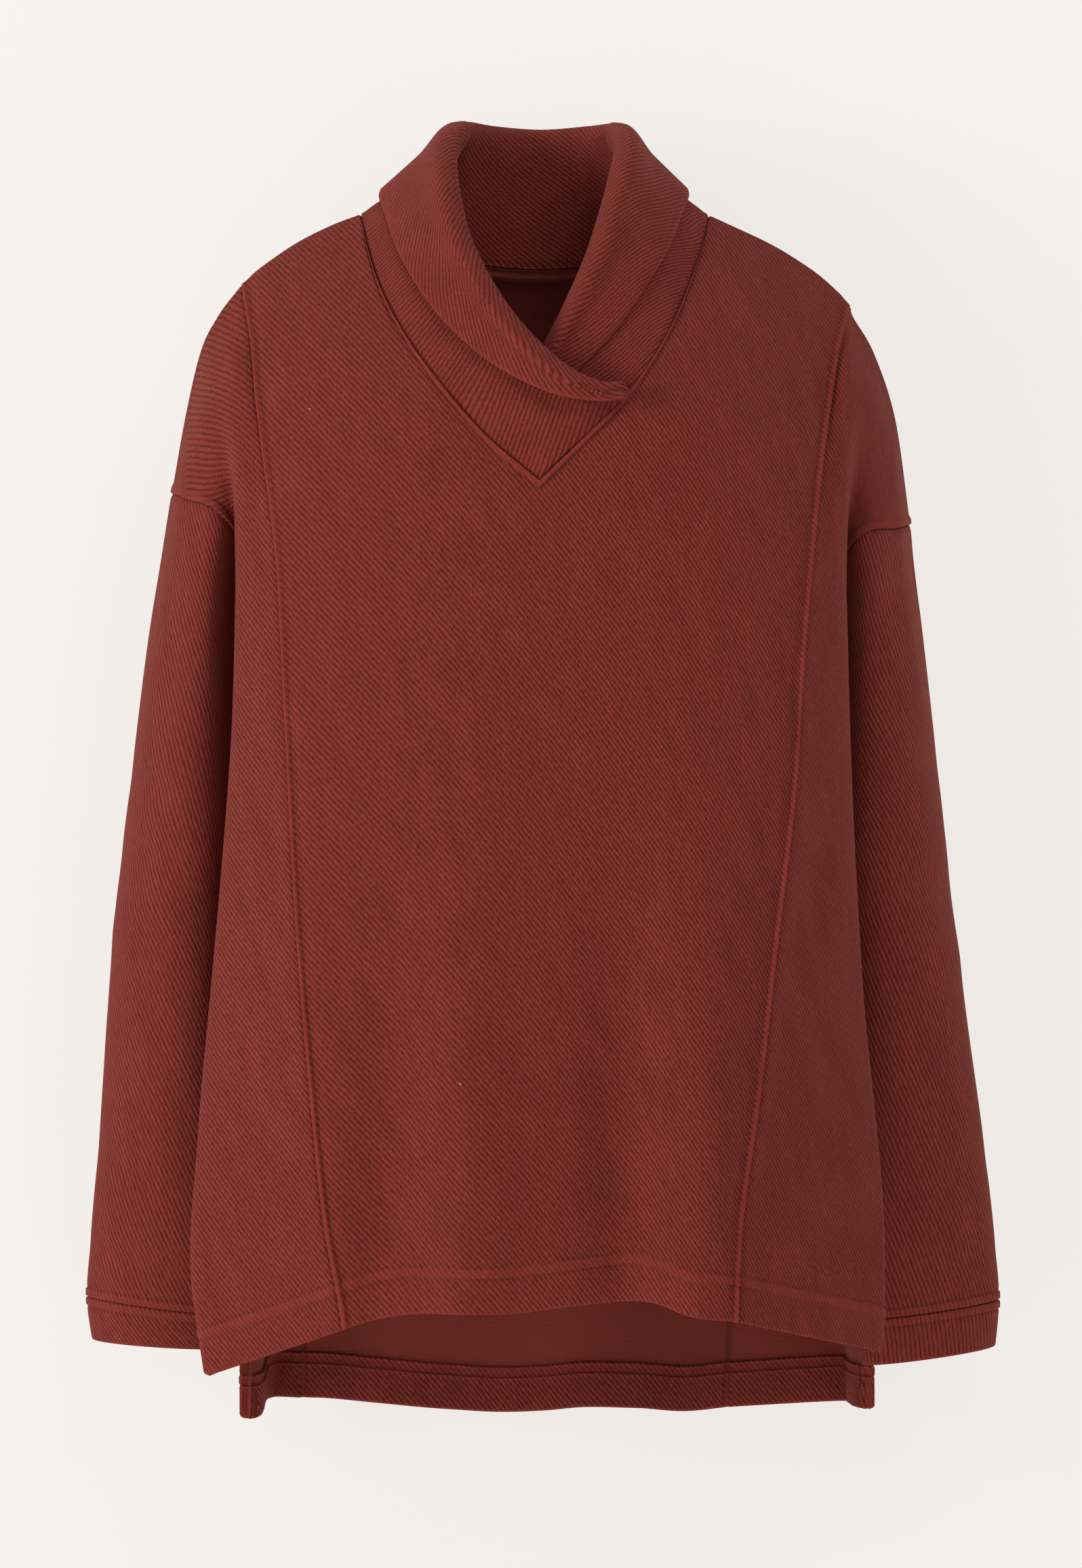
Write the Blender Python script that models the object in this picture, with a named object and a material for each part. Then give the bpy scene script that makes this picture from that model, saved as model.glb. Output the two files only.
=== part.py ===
# Long-sleeved tunic with a crossed shawl collar, in a heavy twill-faced knit.
# It keeps the form it has when worn, with nobody in it: hollow, and open at the neck, hem, vents and cuffs.
# All sizes are in millimetres. X runs to the viewer's right, the front faces -Y and Z is up.
# The origin is in the middle of the neck, at the height of the shoulder neck points.
# Each piece is a shell: an outer face worked out from the tables below, and an inner face one wall inside it.

import bpy
import bmesh
import math
import numpy as np

MM = 0.001

# Cloth
CLOTH = 2.2              # one layer of the knit
TURNED = 1.8             # what a turned-up edge adds to it
COLLAR_CLOTH = 3.8       # the collar is two layers, sewn and turned
TAPE_CLOTH = 1.0
TAPE_GAP = 0.6           # keeps the tape off the panel, whose faces are flat between their points
SEAM_GAP = 0.3           # between two neighbouring pieces
COLLAR_GAP = 0.5         # between the collar and the neckline
HEM_DEPTH = 29.0         # turn-up of the body hems
HEM_STEP = 1.5           # height over which the wall thickens to the turn-up
TAPE_DEPTH = 9.5
TAPE_DROP = 0.6          # the tape starts this far below the neckline

# Heights
UNDERARM_LEFT_Z = -222.0
UNDERARM_RIGHT_Z = -228.0
VENT_TOP_Z = -513.0
VENT_ROW = 0.82          # row of the top of the vents, between the underarm at 0.5 and the hem at 1
RIDGE_Y = 5.0            # the shoulder seam runs along the top of the shoulder
SHOULDER_SEAM_LEFT_Z = -36.0   # where the princess seams meet the shoulder seams
SHOULDER_SEAM_RIGHT_Z = -50.0
FRONT_SEAM_END_Z = -656.0
BACK_SEAM_END_Z = -725.0
SHOULDER_ROUND_FRONT = 215.0
SHOULDER_ROUND_BACK = 132.0
SHOULDER_POWER = 0.9
NECK_BACK_Z = -20.0
NECK_BACK_POWER = 2.2

# How far the body narrows in depth from its middle to its sides
FRONT_FLATTEN = 0.437
BACK_FLATTEN = 0.30
HALF_BODY = 190.0

# Top of the shoulder: distance from the middle, height
RIDGE_LEFT = ((0, 26), (60, 21), (110, 6.6), (126, 0.6), (159, -17.5), (182, -36.5), (196, -55), (212, -92))
RIDGE_RIGHT = ((0, 26), (60, 19), (102, 6.0), (114, 0.6), (150, -17.5), (176, -36.5), (186, -47), (206, -92))

# Depth of the middle of the body: height, front, back
BODY_DEPTH = (
    (40, 108, 92),
    (-60, 112, 100),
    (-160, 113, 112),
    (-260, 118, 112),
    (-400, 122, 108),
    (-550, 117, 105),
    (-650, 110, 105),
    (-740, 106, 105),
)

# Front princess seams: height, distance from the middle on the left and on the right
PRINCESS = (
    (-36, 182, 192),
    (-50, 179, 187.5),
    (-71, 175, 181),
    (-112, 170, 173),
    (-145, 165, 167.5),
    (-203, 156.5, 160.5),
    (-277, 152, 154),
    (-340, 148.5, 150),
    (-432, 143, 139),
    (-525, 135, 128),
    (-596, 127.5, 118),
    (-656, 117, 115.5),
    (-700, 114, 115),
)

# Back panel seams: height, distance from the middle on the left and on the right
BACK_SEAM = (
    (-36, 182, 191),
    (-50, 179, 187.5),
    (-90, 171, 175),
    (-150, 166, 164),
    (-222, 162, 158),
    (-350, 157, 147),
    (-500, 153, 133),
    (-620, 151, 123),
    (-730, 150, 118),
)

# Lower edge of the front and of the back: distance across, height
FRONT_HEM = (
    (-201, -692), (-178, -683), (-151, -670), (-118, -659), (-99, -653), (-72, -648), (-40, -647.5),
    (-12, -647), (14, -644), (40, -642), (65, -642), (86, -649), (113, -653), (155, -663), (182, -670),
    (202, -679),
)
BACK_HEM = (
    (-187, -729.5), (-176.5, -729.5), (-174, -722), (-171, -721), (-151, -720.5), (-101, -725), (-60, -730),
    (-25, -732.5), (2, -731), (26, -728), (58, -729), (90, -731.5), (125, -726), (153, -721), (178, -722), (207, -724),
)

# Soft upright folds: where across, half width, how far out at the hem
FRONT_FOLDS = ((-40, 30, 8), (98, 26, 9), (-88, 22, -6), (50, 24, -10), (-134, 24, 3))
BACK_FOLDS = ((-30, 42, 8), (88, 30, 7), (30, 28, -6), (140, 26, -6), (-95, 34, -4))
FOLD_TOP_Z = -250.0
FOLD_FULL_Z = -660.0

# Neckline of the front, drawn round from one shoulder neck point to the other: across, height
NECK_LEFT = ((-110, 6.6), (-105, -14), (-97.7, -38), (-81, -72), (-57, -106), (-33, -134), (-1, -161.5))
NECK_RIGHT = ((102, 6.0), (98.5, -10), (93, -27), (78, -65), (48.4, -112), (22, -139), (-1, -161.5))

# Side panels above the underarm, in rows that fan round the arm: distance out, depth, height.
# Each row runs from beside the panel seam over the body's edge and into the arm.
FAN_FRONT = (
    ((196, 6, -55), (206.5, 8, -76), (216, 12, -115)),
    ((187, -38, -98), (199, -29, -115), (208, -21, -142)),
    ((182, -55, -150), (185.5, -38, -160), (189, -36, -171)),
    ((181, -60, -222), (173, -24, -222), (167, 0, -222)),
)
FAN_BACK = (
    ((196, 6, -55), (206.5, 8, -76), (216, 12, -115)),
    ((190, 50, -104), (203, 45, -121), (212, 43, -147)),
    ((181, 77, -156), (190, 74, -166), (194, 73, -176)),
    ((174, 80, -222), (173, 62, -222), (168, 43, -222)),
)

# Places of those rows between the shoulder at 0 and the underarm at 0.5,
# and how far down the panel seam each of them starts
FAN_PLACES = (0.0, 0.17, 0.33, 0.5)
FAN_SHARES = (0.0, 0.29, 0.60, 1.0)

# Seam between the dropped shoulder and the sleeve: distance out, depth, height on the left, on the right
DROP_FRONT = ((224.6, 15, -162, -181), (214.5, -21, -167, -185), (190, -37, -179, -191), (165, 22, -222, -228))
DROP_BACK = ((224.6, 15, -162, -181), (216, 49, -169, -186), (194, 74, -184, -196), (165, 22, -222, -228))

# Where the guides of a side panel lie between its inner seam at 0 and its outer edge at 1
SIDE_KNOTS = (0.0, 0.30, 0.55, 0.78, 1.0)

# Sides of the body below the underarm: height, then distance out and depth of three guides
SIDE_FRONT = (
    (-222, (181, -60), (173, -24), (167, 0)),
    (-300, (183, -60), (174, -28), (168, -5)),
    (-400, (190, -57), (180, -32), (172, -12)),
    (-460, (195, -53), (187, -34), (178, -20)),
    (-513, (199, -51), (195, -37), (188, -30)),
    (-560, (201, -52), (202, -43), (199, -37)),
    (-626, (203, -54), (206.5, -46), (208, -41)),
    (-690, (193, -52), (197, -45), (199.5, -39)),
)
SIDE_BACK = (
    (-222, (174, 80), (173, 62), (168, 43)),
    (-300, (171, 81), (171, 62), (168, 38)),
    (-400, (168, 84), (170, 62), (170, 34)),
    (-460, (166, 86), (170, 62), (171, 27)),
    (-513, (165, 88), (171, 64), (173, 24)),
    (-600, (164, 90), (171, 72), (175, 44)),
    (-660, (165, 90), (172, 75), (175, 55)),
    (-735, (168, 89), (174, 80), (176.5, 67)),
)

# Side seam down to the vent, and the turned edges of the vent: height, distance out and depth
SIDE_SEAM = ((-222, (165, 22)), (-300, (166, 16)), (-400, (169.5, 6)), (-460, (174, -8)), (-513, (184, -24)))
VENT_FRONT = ((-513, (184, -24)), (-560, (196, -33)), (-626, (208, -37)), (-690, (201, -34)))
VENT_BACK = ((-513, (184, -24)), (-600, (178, 10)), (-660, (184.5, 40)), (-735, (186.5, 60)))

# What the right side adds to the left side's distances, from nothing at the underarm: height, front, back
UNDERARM_EASE = 120.0
RIGHT_SIDE = (
    (-60, -6, -6),
    (-110, -1, -1),
    (-222, 0, 0),
    (-300, 0, 0),
    (-400, -3, 0),
    (-470, -5, 0),
    (-513, -5, -2),
    (-560, -4, 4),
    (-626, -4, 12),
    (-690, 1, 19),
    (-735, 1, 20),
)

# Sleeves: height of the outer side, distance out of the outer side on the left and right,
# width, middle of the depth, depth
SLEEVE = (
    (-162, 224.6, 224.6, 60, 18, 114),
    (-203, 231.2, 228.0, 60, 18, 110),
    (-240, 237.4, 232.5, 62, 18, 104),
    (-332, 249.7, 242.6, 66, 19, 92),
    (-406, 258.8, 250.7, 71, 20, 82),
    (-481, 265.0, 260.0, 76, 21, 72),
    (-556, 270.2, 270.5, 80, 23, 62),
    (-620, 276.0, 278.0, 86, 26, 52),
    (-655, 278.0, 280.5, 87, 27, 46),
    (-690, 273.0, 277.5, 82, 28, 43),
)
CUFF_SEAM_LEFT = (-652, -661)     # height at the outer side, at the inner side
CUFF_SEAM_RIGHT = (-654, -664)
CUFF_END_LEFT = (-679, -682)
CUFF_END_RIGHT = (-683, -692)
CUFF_CLOTH = 3.2
SLEEVE_SKEW = 0.25                # the inner side of a sleeve hangs a little further forward
SLEEVE_FADE = 0.45                # the drop seam's own outline is lost by this share of the sleeve

# Collar: place along the neckline, how far behind it, then the roll line and the free edge.
# Places: 0 right shoulder neck point, 1 the V, 2 left shoulder neck point, 3 right one again, 4 the V.
# The rows go from the end that crosses over, round the back of the neck, to the end beneath.
COLLAR = (
    (0.65, 0, (49, -106, -105.5), (48, -111.5, -113)),
    (0.84, 0, (34, -111, -105.5), (32, -115, -115)),
    (1.00, 0, (14, -110, -96), (8, -115, -112)),
    (1.206, 0, (-10, -101, -73), (-18, -103, -100)),
    (1.386, 0, (-28, -86, -47), (-40, -92, -84)),
    (1.59, 0, (-43, -63, -15), (-63, -73, -59)),
    (1.774, 0, (-51, -35, 20), (-82, -42, -26)),
    (1.917, 0, (-52, -8, 44), (-92, -8, 2)),
    (2.00, 0, (-46, 20, 61), (-95, 20, 18)),
    (2.085, 0, (-44, 46, 66), (-78, 56, 16)),
    (2.283, 0, (-28, 66, 66), (-42, 84, 8)),
    (2.519, 0, (0, 74, 65), (0, 92, 4)),
    (2.755, 0, (28, 66, 66), (42, 84, 8)),
    (2.934, 0, (42, 46, 65), (74, 56, 16)),
    (3.00, 0, (42, 20, 60.5), (87, 20, 18)),
    (3.09, 0, (46, -10, 45), (82, -14, 0)),
    (3.25, 0, (43, -30, 28), (73, -42, -24)),
    (3.40, 0, (37, -48, 4), (60, -60, -47)),
    (3.54, 1, (27, -62, -28), (46, -72, -70)),
    (3.67, 7, (14, -72, -58), (32, -79, -87)),
    (3.77, 10, (2, -78, -82), (16, -83, -104)),
)
COLLAR_KNOTS = (0.0, 0.27, 0.47, 0.53, 0.59, 0.80, 1.0)
STAND_BOW = 5.0
FALL_BOW = 4.5
EDGE_LIFT = 4.0
END_EASE = 0.45                   # along this much of the neckline the over end flattens into its seam
END_SHARE = 0.45
ROLL_HALF = 5.5
ROLL_DROP = 5.0

# Places across the centre panels: the neckline's two ends and its middle
NECK_FROM = 0.2
NECK_MIDDLE = 0.5
NECK_TO = 0.8

# How finely the solids are cut
FAN_ROWS = 13
BODY_ROWS = 7
VENT_ROWS = 3
HEM_ROWS = (0.9, 0.45, 0.0)       # rows of the turn-up, as shares of its depth
CUFF_ROWS = (0.0, 0.12, 0.24, 0.62, 1.0)
CENTRE_SHOULDER_COLUMNS = 3
CENTRE_NECK_COLUMNS = 9
SIDE_COLUMNS = 9
SLEEVE_ROWS = 15
COLLAR_ROWS = 40
COLLAR_COLUMNS = 14

RUST = (0.210, 0.030, 0.022, 1.0)
RUST_INSIDE = (0.180, 0.026, 0.020, 1.0)


def through(knots, values, t):
    """Smooth curve through the rows of values, read at t."""
    knots = np.asarray(knots, float)
    values = np.asarray(values, float)
    t = np.asarray(t, float)
    slopes = np.gradient(values, knots, axis=0)
    low = np.clip(np.searchsorted(knots, t, side="right") - 1, 0, len(knots) - 2)
    step = knots[low + 1] - knots[low]
    f = np.clip((t - knots[low]) / step, 0.0, 1.0)
    extra = (1,) * (values.ndim - 1)
    f = f.reshape(f.shape + extra)
    step = step.reshape(step.shape + extra)
    start = values[low] * (2 * f**3 - 3 * f**2 + 1) + slopes[low] * step * (f**3 - 2 * f**2 + f)
    end = values[low + 1] * (3 * f**2 - 2 * f**3) + slopes[low + 1] * step * (f**3 - f**2)
    return start + end


def column(table, at, x, key=0):
    """One column of a table, read smoothly at x."""
    rows = sorted(table, key=lambda row: row[key])
    return through([row[key] for row in rows], [row[at] for row in rows], x)


def smooth_step(x):
    x = np.clip(x, 0.0, 1.0)
    return x * x * (3 - 2 * x)


def ridge_z(x):
    """Height of the top of the shoulder."""
    x = np.asarray(x, float)
    return np.where(x < 0, column(RIDGE_LEFT, 1, -x), column(RIDGE_RIGHT, 1, x))


def folds(table, x, z):
    """How far the soft upright folds stand out."""
    grow = smooth_step((FOLD_TOP_Z - z) / (FOLD_TOP_Z - FOLD_FULL_Z))
    out = 0.0
    for where, half, depth in table:
        out = out + depth * np.exp(-((x - where) / half) ** 2)
    return out * grow


def rounding(x, z, reach):
    """Nought at the top of the shoulder, one where the body is at its full depth."""
    t = np.clip((ridge_z(x) - z) / reach, 0.0, 1.0)
    return (1 - (1 - t) ** 2) ** SHOULDER_POWER


def front_y(x, z):
    flat = 1 - FRONT_FLATTEN * (np.abs(x) / HALF_BODY) ** 3
    full = -column(BODY_DEPTH, 1, z) * flat - folds(FRONT_FOLDS, x, z)
    return RIDGE_Y + (full - RIDGE_Y) * rounding(x, z, SHOULDER_ROUND_FRONT)


def back_y(x, z):
    flat = 1 - BACK_FLATTEN * (np.abs(x) / HALF_BODY) ** 3
    full = column(BODY_DEPTH, 2, z) * flat + folds(BACK_FOLDS, x, z)
    return RIDGE_Y + (full - RIDGE_Y) * rounding(x, z, SHOULDER_ROUND_BACK)


def princess_x(side, z):
    return side * column(PRINCESS, 1 if side < 0 else 2, z)


def shoulder_seam_x(side):
    """Where a princess seam meets the shoulder seam."""
    return float(princess_x(side, np.array(SHOULDER_SEAM_LEFT_Z if side < 0 else SHOULDER_SEAM_RIGHT_Z)))


def back_seam_x(side, z):
    return side * column(BACK_SEAM, 1 if side < 0 else 2, z)


def row_parameters(front):
    """Rows of the body: shoulder at 0, underarm at 0.5, top of the vent at VENT_ROW, hem at 1."""
    hem = FRONT_HEM if front else BACK_HEM
    turn = (HEM_DEPTH + HEM_STEP) / (VENT_TOP_Z - hem[0][1])
    fan = np.linspace(0.0, 0.5, FAN_ROWS + 1)
    down = np.linspace(0.5, VENT_ROW, BODY_ROWS + 1)[1:]
    beside = VENT_ROW + (1 - VENT_ROW) * (1 - turn) * np.linspace(0.0, 1.0, VENT_ROWS + 1)[1:]
    turned = 1 - (1 - VENT_ROW) * turn * np.array(HEM_ROWS)
    return np.concatenate([fan, down, beside, turned])


def row_height(t, under, hem_z):
    """Height of a row below the underarm, on a line that ends at hem_z."""
    upper = under + (VENT_TOP_Z - under) * (t - 0.5) / (VENT_ROW - 0.5)
    lower = VENT_TOP_Z + (hem_z - VENT_TOP_Z) * (t - VENT_ROW) / (1 - VENT_ROW)
    return np.where(t <= VENT_ROW, upper, lower)


def fan_height(side, t):
    """Height of the inner seam of a side panel at row t above the underarm."""
    top = float(ridge_z(shoulder_seam_x(side)))
    under = UNDERARM_LEFT_Z if side < 0 else UNDERARM_RIGHT_Z
    return top + (under - top) * through(FAN_PLACES, FAN_SHARES, t)


def seam_line(side, t, front):
    """The princess seam or the back panel seam, as points, at the rows t."""
    under = UNDERARM_LEFT_Z if side < 0 else UNDERARM_RIGHT_Z
    seam = princess_x if front else back_seam_x
    hem = FRONT_HEM if front else BACK_HEM
    hem_x = seam(side, np.array(FRONT_SEAM_END_Z if front else BACK_SEAM_END_Z))
    hem_z = float(column(hem, 1, hem_x))
    below = row_height(t, under, hem_z)
    z = np.where(t <= 0.5, fan_height(side, t), below)
    x = seam(side, z)
    y = front_y(x, z) if front else back_y(x, z)
    return np.stack([x, y, z], axis=-1)


def guide_line(side, t, front, index):
    """One guide of a side panel: 0 to 2 inside it, 3 its outer edge."""
    fan = FAN_FRONT if front else FAN_BACK
    drop = DROP_FRONT if front else DROP_BACK
    table = SIDE_FRONT if front else SIDE_BACK
    under = UNDERARM_LEFT_Z if side < 0 else UNDERARM_RIGHT_Z
    if index < 3:
        upper = [row[index] for row in fan]
        upper = [(x, y, z + (under - UNDERARM_LEFT_Z) * z / UNDERARM_LEFT_Z) for x, y, z in upper]
    else:
        upper = [(row[0], row[1], row[2 if side < 0 else 3]) for row in drop]
    upper = np.array(upper, float)
    high = through(FAN_PLACES, upper, np.clip(t, 0.0, 0.5))
    vent = VENT_FRONT if front else VENT_BACK
    last = vent[-1] if index == 3 else table[-1]
    hem = FRONT_HEM if front else BACK_HEM
    hem_x = last[1][0] if index == 3 else last[1 + index][0]
    hem_z = float(column(hem, 1, side * (hem_x + right_shift(side, last[0], front))))
    z = row_height(np.clip(t, 0.5, 1.0), under, hem_z)
    if index == 3:
        seam = read_pairs(SIDE_SEAM, 1, z)
        turned = read_pairs(vent, 1, z)
        low_xy = np.where((z >= VENT_TOP_Z)[..., None], seam, turned)
    else:
        low_xy = read_pairs(table, 1 + index, z)
    low = np.concatenate([low_xy, z[..., None]], axis=-1)
    line = np.where((t <= 0.5)[..., None], high, low)
    if index < 3:
        line[..., 0] = line[..., 0] + right_shift(side, line[..., 2], front)
    else:
        line[..., 0] = line[..., 0] + np.where(t > 0.5, right_shift(side, z, front) * below_arm(z), 0.0)
    line[..., 0] = line[..., 0] * side
    return line


def read_pairs(table, at, z):
    """The pairs (distance out, depth) of one column of a table, read smoothly at the heights z."""
    return through([row[0] for row in table][::-1], [row[at] for row in table][::-1], z)


def below_arm(z):
    """The side seam starts from one underarm point, whatever the side."""
    return smooth_step((UNDERARM_LEFT_Z - z) / UNDERARM_EASE)


def right_shift(side, z, front):
    if side < 0:
        return 0.0 * np.asarray(z, float)
    return column(RIGHT_SIDE, 1 if front else 2, z)


def side_surface(side, t, u, front):
    """Outer face of a side panel: t down, u from its inner seam to its outer edge."""
    lines = [seam_line(side, t, front)]
    for index in range(4):
        lines.append(guide_line(side, t, front, index))
    return np.moveaxis(through(SIDE_KNOTS, np.stack(lines), u), 0, 1)


def neck_columns(count_shoulder, count_neck):
    """Columns of the centre panels: the shoulder, the two sides of the neck, the shoulder."""
    parts = [
        np.linspace(0.0, NECK_FROM, count_shoulder + 1),
        np.linspace(NECK_FROM, NECK_MIDDLE, count_neck + 1)[1:],
        np.linspace(NECK_MIDDLE, NECK_TO, count_neck + 1)[1:],
        np.linspace(NECK_TO, 1.0, count_shoulder + 1)[1:],
    ]
    return np.concatenate(parts)


def arc_points(points, f):
    """Points at the shares f of the length of a smooth line through points."""
    points = np.asarray(points, float)
    knots = np.concatenate([[0.0], np.cumsum(np.linalg.norm(np.diff(points, axis=0), axis=1))])
    return through(knots / knots[-1], points, f)


def top_line(u, front):
    """Upper edge of a centre panel (across, height): shoulder, neckline, shoulder."""
    left_end = shoulder_seam_x(-1)
    right_end = shoulder_seam_x(1)
    x = np.zeros_like(u)
    z = np.zeros_like(u)
    part = u <= NECK_FROM
    x[part] = left_end + (NECK_LEFT[0][0] - left_end) * u[part] / NECK_FROM
    z[part] = ridge_z(x[part])
    part = u >= NECK_TO
    x[part] = NECK_RIGHT[0][0] + (right_end - NECK_RIGHT[0][0]) * (u[part] - NECK_TO) / (1 - NECK_TO)
    z[part] = ridge_z(x[part])
    part = (u > NECK_FROM) & (u < NECK_TO)
    if front:
        left = part & (u <= NECK_MIDDLE)
        right = part & (u > NECK_MIDDLE)
        line = arc_points(NECK_LEFT, (u[left] - NECK_FROM) / (NECK_MIDDLE - NECK_FROM))
        x[left] = line[:, 0]
        z[left] = line[:, 1]
        line = arc_points(NECK_RIGHT[::-1], (u[right] - NECK_MIDDLE) / (NECK_TO - NECK_MIDDLE))
        x[right] = line[:, 0]
        z[right] = line[:, 1]
    else:
        share = (u[part] - NECK_FROM) / (NECK_TO - NECK_FROM)
        x[part] = NECK_LEFT[0][0] + (NECK_RIGHT[0][0] - NECK_LEFT[0][0]) * share
        z[part] = back_neck_z(x[part])
    return x, z


def back_neck_z(x):
    """Height of the back neckline."""
    x = np.asarray(x, float)
    end = np.where(x < 0, -NECK_LEFT[0][0], NECK_RIGHT[0][0])
    high = np.where(x < 0, NECK_LEFT[0][1], NECK_RIGHT[0][1])
    return NECK_BACK_Z + (high - NECK_BACK_Z) * (np.abs(x) / end) ** NECK_BACK_POWER


def centre_surface(t, u, front):
    """Outer face of a centre panel: t down, u from its left seam to its right seam."""
    left = seam_line(-1, t, front)
    right = seam_line(1, t, front)
    top_x, top_z = top_line(u, front)
    hem = FRONT_HEM if front else BACK_HEM
    low_x = left[-1, 0] + (right[-1, 0] - left[-1, 0]) * u
    low_z = column(hem, 1, low_x)
    v = u[None, :]
    grids = []
    for axis, top, low in ((0, top_x, low_x), (2, top_z, low_z)):
        a = left[:, axis][:, None]
        b = right[:, axis][:, None]
        share = (left[:, 2] - left[0, 2]) / (left[-1, 2] - left[0, 2])
        w = share[:, None]
        edge = (1 - w) * top[None, :] + w * low[None, :]
        sides = (1 - v) * a + v * b
        corners = (1 - w) * ((1 - v) * top[0] + v * top[-1]) + w * ((1 - v) * low[0] + v * low[-1])
        grids.append(edge + sides - corners)
    x, z = grids
    y = front_y(x, z) if front else back_y(x, z)
    return np.stack([x, y, z], axis=-1)


def sleeve_surface(side, s, ring):
    """Outer face of a sleeve: s from the drop seam at 0 to the cuff seam at 1, on past it for the cuff.

    The ring runs from the outer side over the front to the underarm and back behind: 0 to 1."""
    t = np.where(ring <= 0.5, ring, 1.0 - ring)
    front_half = guide_line(side, t, True, 3)
    back_half = guide_line(side, t, False, 3)
    top = np.where((ring <= 0.5)[:, None], front_half, back_half)
    angle = 2 * math.pi * ring
    across = (1 - np.cos(angle)) / 2
    seam = CUFF_SEAM_LEFT if side < 0 else CUFF_SEAM_RIGHT
    seam_z = seam[0] + (seam[1] - seam[0]) * across
    rows = []
    for value in s:
        z_outer = top[0, 2] + (seam[0] - top[0, 2]) * value
        rows.append(sleeve_ring(side, z_outer, angle))
    rows = np.stack(rows)
    start = sleeve_ring(side, top[0, 2], angle)
    fade = 1 - smooth_step(s / SLEEVE_FADE)
    shape = rows + (top[:, :2] - start)[None] * fade[:, None, None]
    z = top[:, 2][None] + (seam_z - top[:, 2])[None] * s[:, None]
    return np.concatenate([shape, z[..., None]], axis=-1)


def sleeve_ring(side, z_outer, angle):
    """One section of the sleeve or cuff (across, depth)."""
    outer = column(SLEEVE, 1 if side < 0 else 2, z_outer)
    width = column(SLEEVE, 3, z_outer)
    middle = column(SLEEVE, 4, z_outer)
    depth = column(SLEEVE, 5, z_outer)
    x = side * (outer - width / 2 + width / 2 * np.cos(angle))
    y = middle - depth / 2 * np.sin(angle) + SLEEVE_SKEW * width / 2 * np.cos(angle)
    return np.stack([x, y], axis=-1)


def cuff_surface(side, s, ring):
    """Outer face of a cuff: s from its seam at 0 to its end at 1."""
    angle = 2 * math.pi * ring
    across = (1 - np.cos(angle)) / 2
    seam = CUFF_SEAM_LEFT if side < 0 else CUFF_SEAM_RIGHT
    end = CUFF_END_LEFT if side < 0 else CUFF_END_RIGHT
    seam_z = seam[0] + (seam[1] - seam[0]) * across
    end_z = end[0] + (end[1] - end[0]) * across
    rows = []
    for value in s:
        xy = sleeve_ring(side, seam[0] + (end[0] - seam[0]) * value, angle)
        z = seam_z + (end_z - seam_z) * value
        rows.append(np.concatenate([xy, z[:, None]], axis=-1))
    return np.stack(rows)


def on_neckline(place, front_values, back_values):
    """Values of the upper edges of the centre panels at places along the neckline."""
    u = neck_columns(CENTRE_SHOULDER_COLUMNS, CENTRE_NECK_COLUMNS)
    half = NECK_TO - NECK_MIDDLE
    front_u = np.where(place <= 2, NECK_TO - half * place, NECK_TO - half * (place - 3))
    back_u = NECK_FROM + (NECK_TO - NECK_FROM) * (place - 2)
    back = (place > 2) & (place < 3)
    values = []
    for axis in range(3):
        on_front = np.interp(front_u, u, front_values[:, axis])
        on_back = np.interp(back_u, u, back_values[:, axis])
        values.append(np.where(back, on_back, on_front))
    return np.stack(values, axis=-1)


def collar_surface(rows, columns, grids, facing):
    """Middle of the collar's cloth, and the way its outer face looks.

    The rows run along its length, the columns from the seam over the roll to the free edge."""
    knots = np.linspace(0.0, 1.0, len(COLLAR))
    places = np.array([row[0] for row in COLLAR])
    neck = on_neckline(places, grids["front", 0][0], grids["back", 0][0])
    roll = np.array([row[2] for row in COLLAR], float)
    edge = np.array([row[3] for row in COLLAR], float)
    out = np.cross(roll - neck, np.gradient(neck, axis=0))
    out = through(knots, out / np.linalg.norm(out, axis=1)[:, None], rows)
    out = out / np.linalg.norm(out, axis=1)[:, None]
    roll = through(knots, roll, rows)
    edge = through(knots, edge, rows)
    places = through(knots, places, rows)
    neck = on_neckline(places, grids["front", 0][0], grids["back", 0][0])
    body_out = on_neckline(places, facing["front", 0][0], facing["back", 0][0])
    body_out = body_out / np.linalg.norm(body_out, axis=1)[:, None]
    away = np.cross(np.gradient(neck, axis=0), body_out)
    away = away / np.linalg.norm(away, axis=1)[:, None]
    seam = neck + away * COLLAR_GAP - body_out * (COLLAR_CLOTH / 2)
    seam[:, 1] += through(knots, [row[1] for row in COLLAR], rows)
    rise = (roll - neck) / np.linalg.norm(roll - neck, axis=1)[:, None]
    full = smooth_step((places - places[0]) / END_EASE)[:, None]
    full = END_SHARE + (1 - END_SHARE) * full
    stand = (neck + roll) / 2 - out * STAND_BOW * full
    inside = roll - out * ROLL_HALF * full - rise * ROLL_DROP * full
    outside = roll + out * ROLL_HALF * full - rise * ROLL_DROP * full
    fall = (roll + edge) / 2 + out * FALL_BOW * full
    edge = edge + out * EDGE_LIFT * full
    lines = np.stack([seam, stand, inside, roll, outside, fall, edge])
    grid = np.moveaxis(through(COLLAR_KNOTS, lines, columns), 0, 1)
    look = normals(grid, False)
    turn = np.sign((look[:, 1] * out).sum(axis=1)).mean()
    look = look * np.sign(turn)
    look[:, 0] = body_out
    return grid, look


def normals(grid, closed):
    """Unit normals of a grid of points, pointing to the side where rows x columns turn left."""
    if closed:
        wide = np.concatenate([grid[:, -1:], grid, grid[:, :1]], axis=1)
        across = np.gradient(wide, axis=1)[:, 1:-1]
    else:
        across = np.gradient(grid, axis=1)
    down = np.gradient(grid, axis=0)
    cross = np.cross(down, across)
    return cross / np.linalg.norm(cross, axis=2)[..., None]


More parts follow.
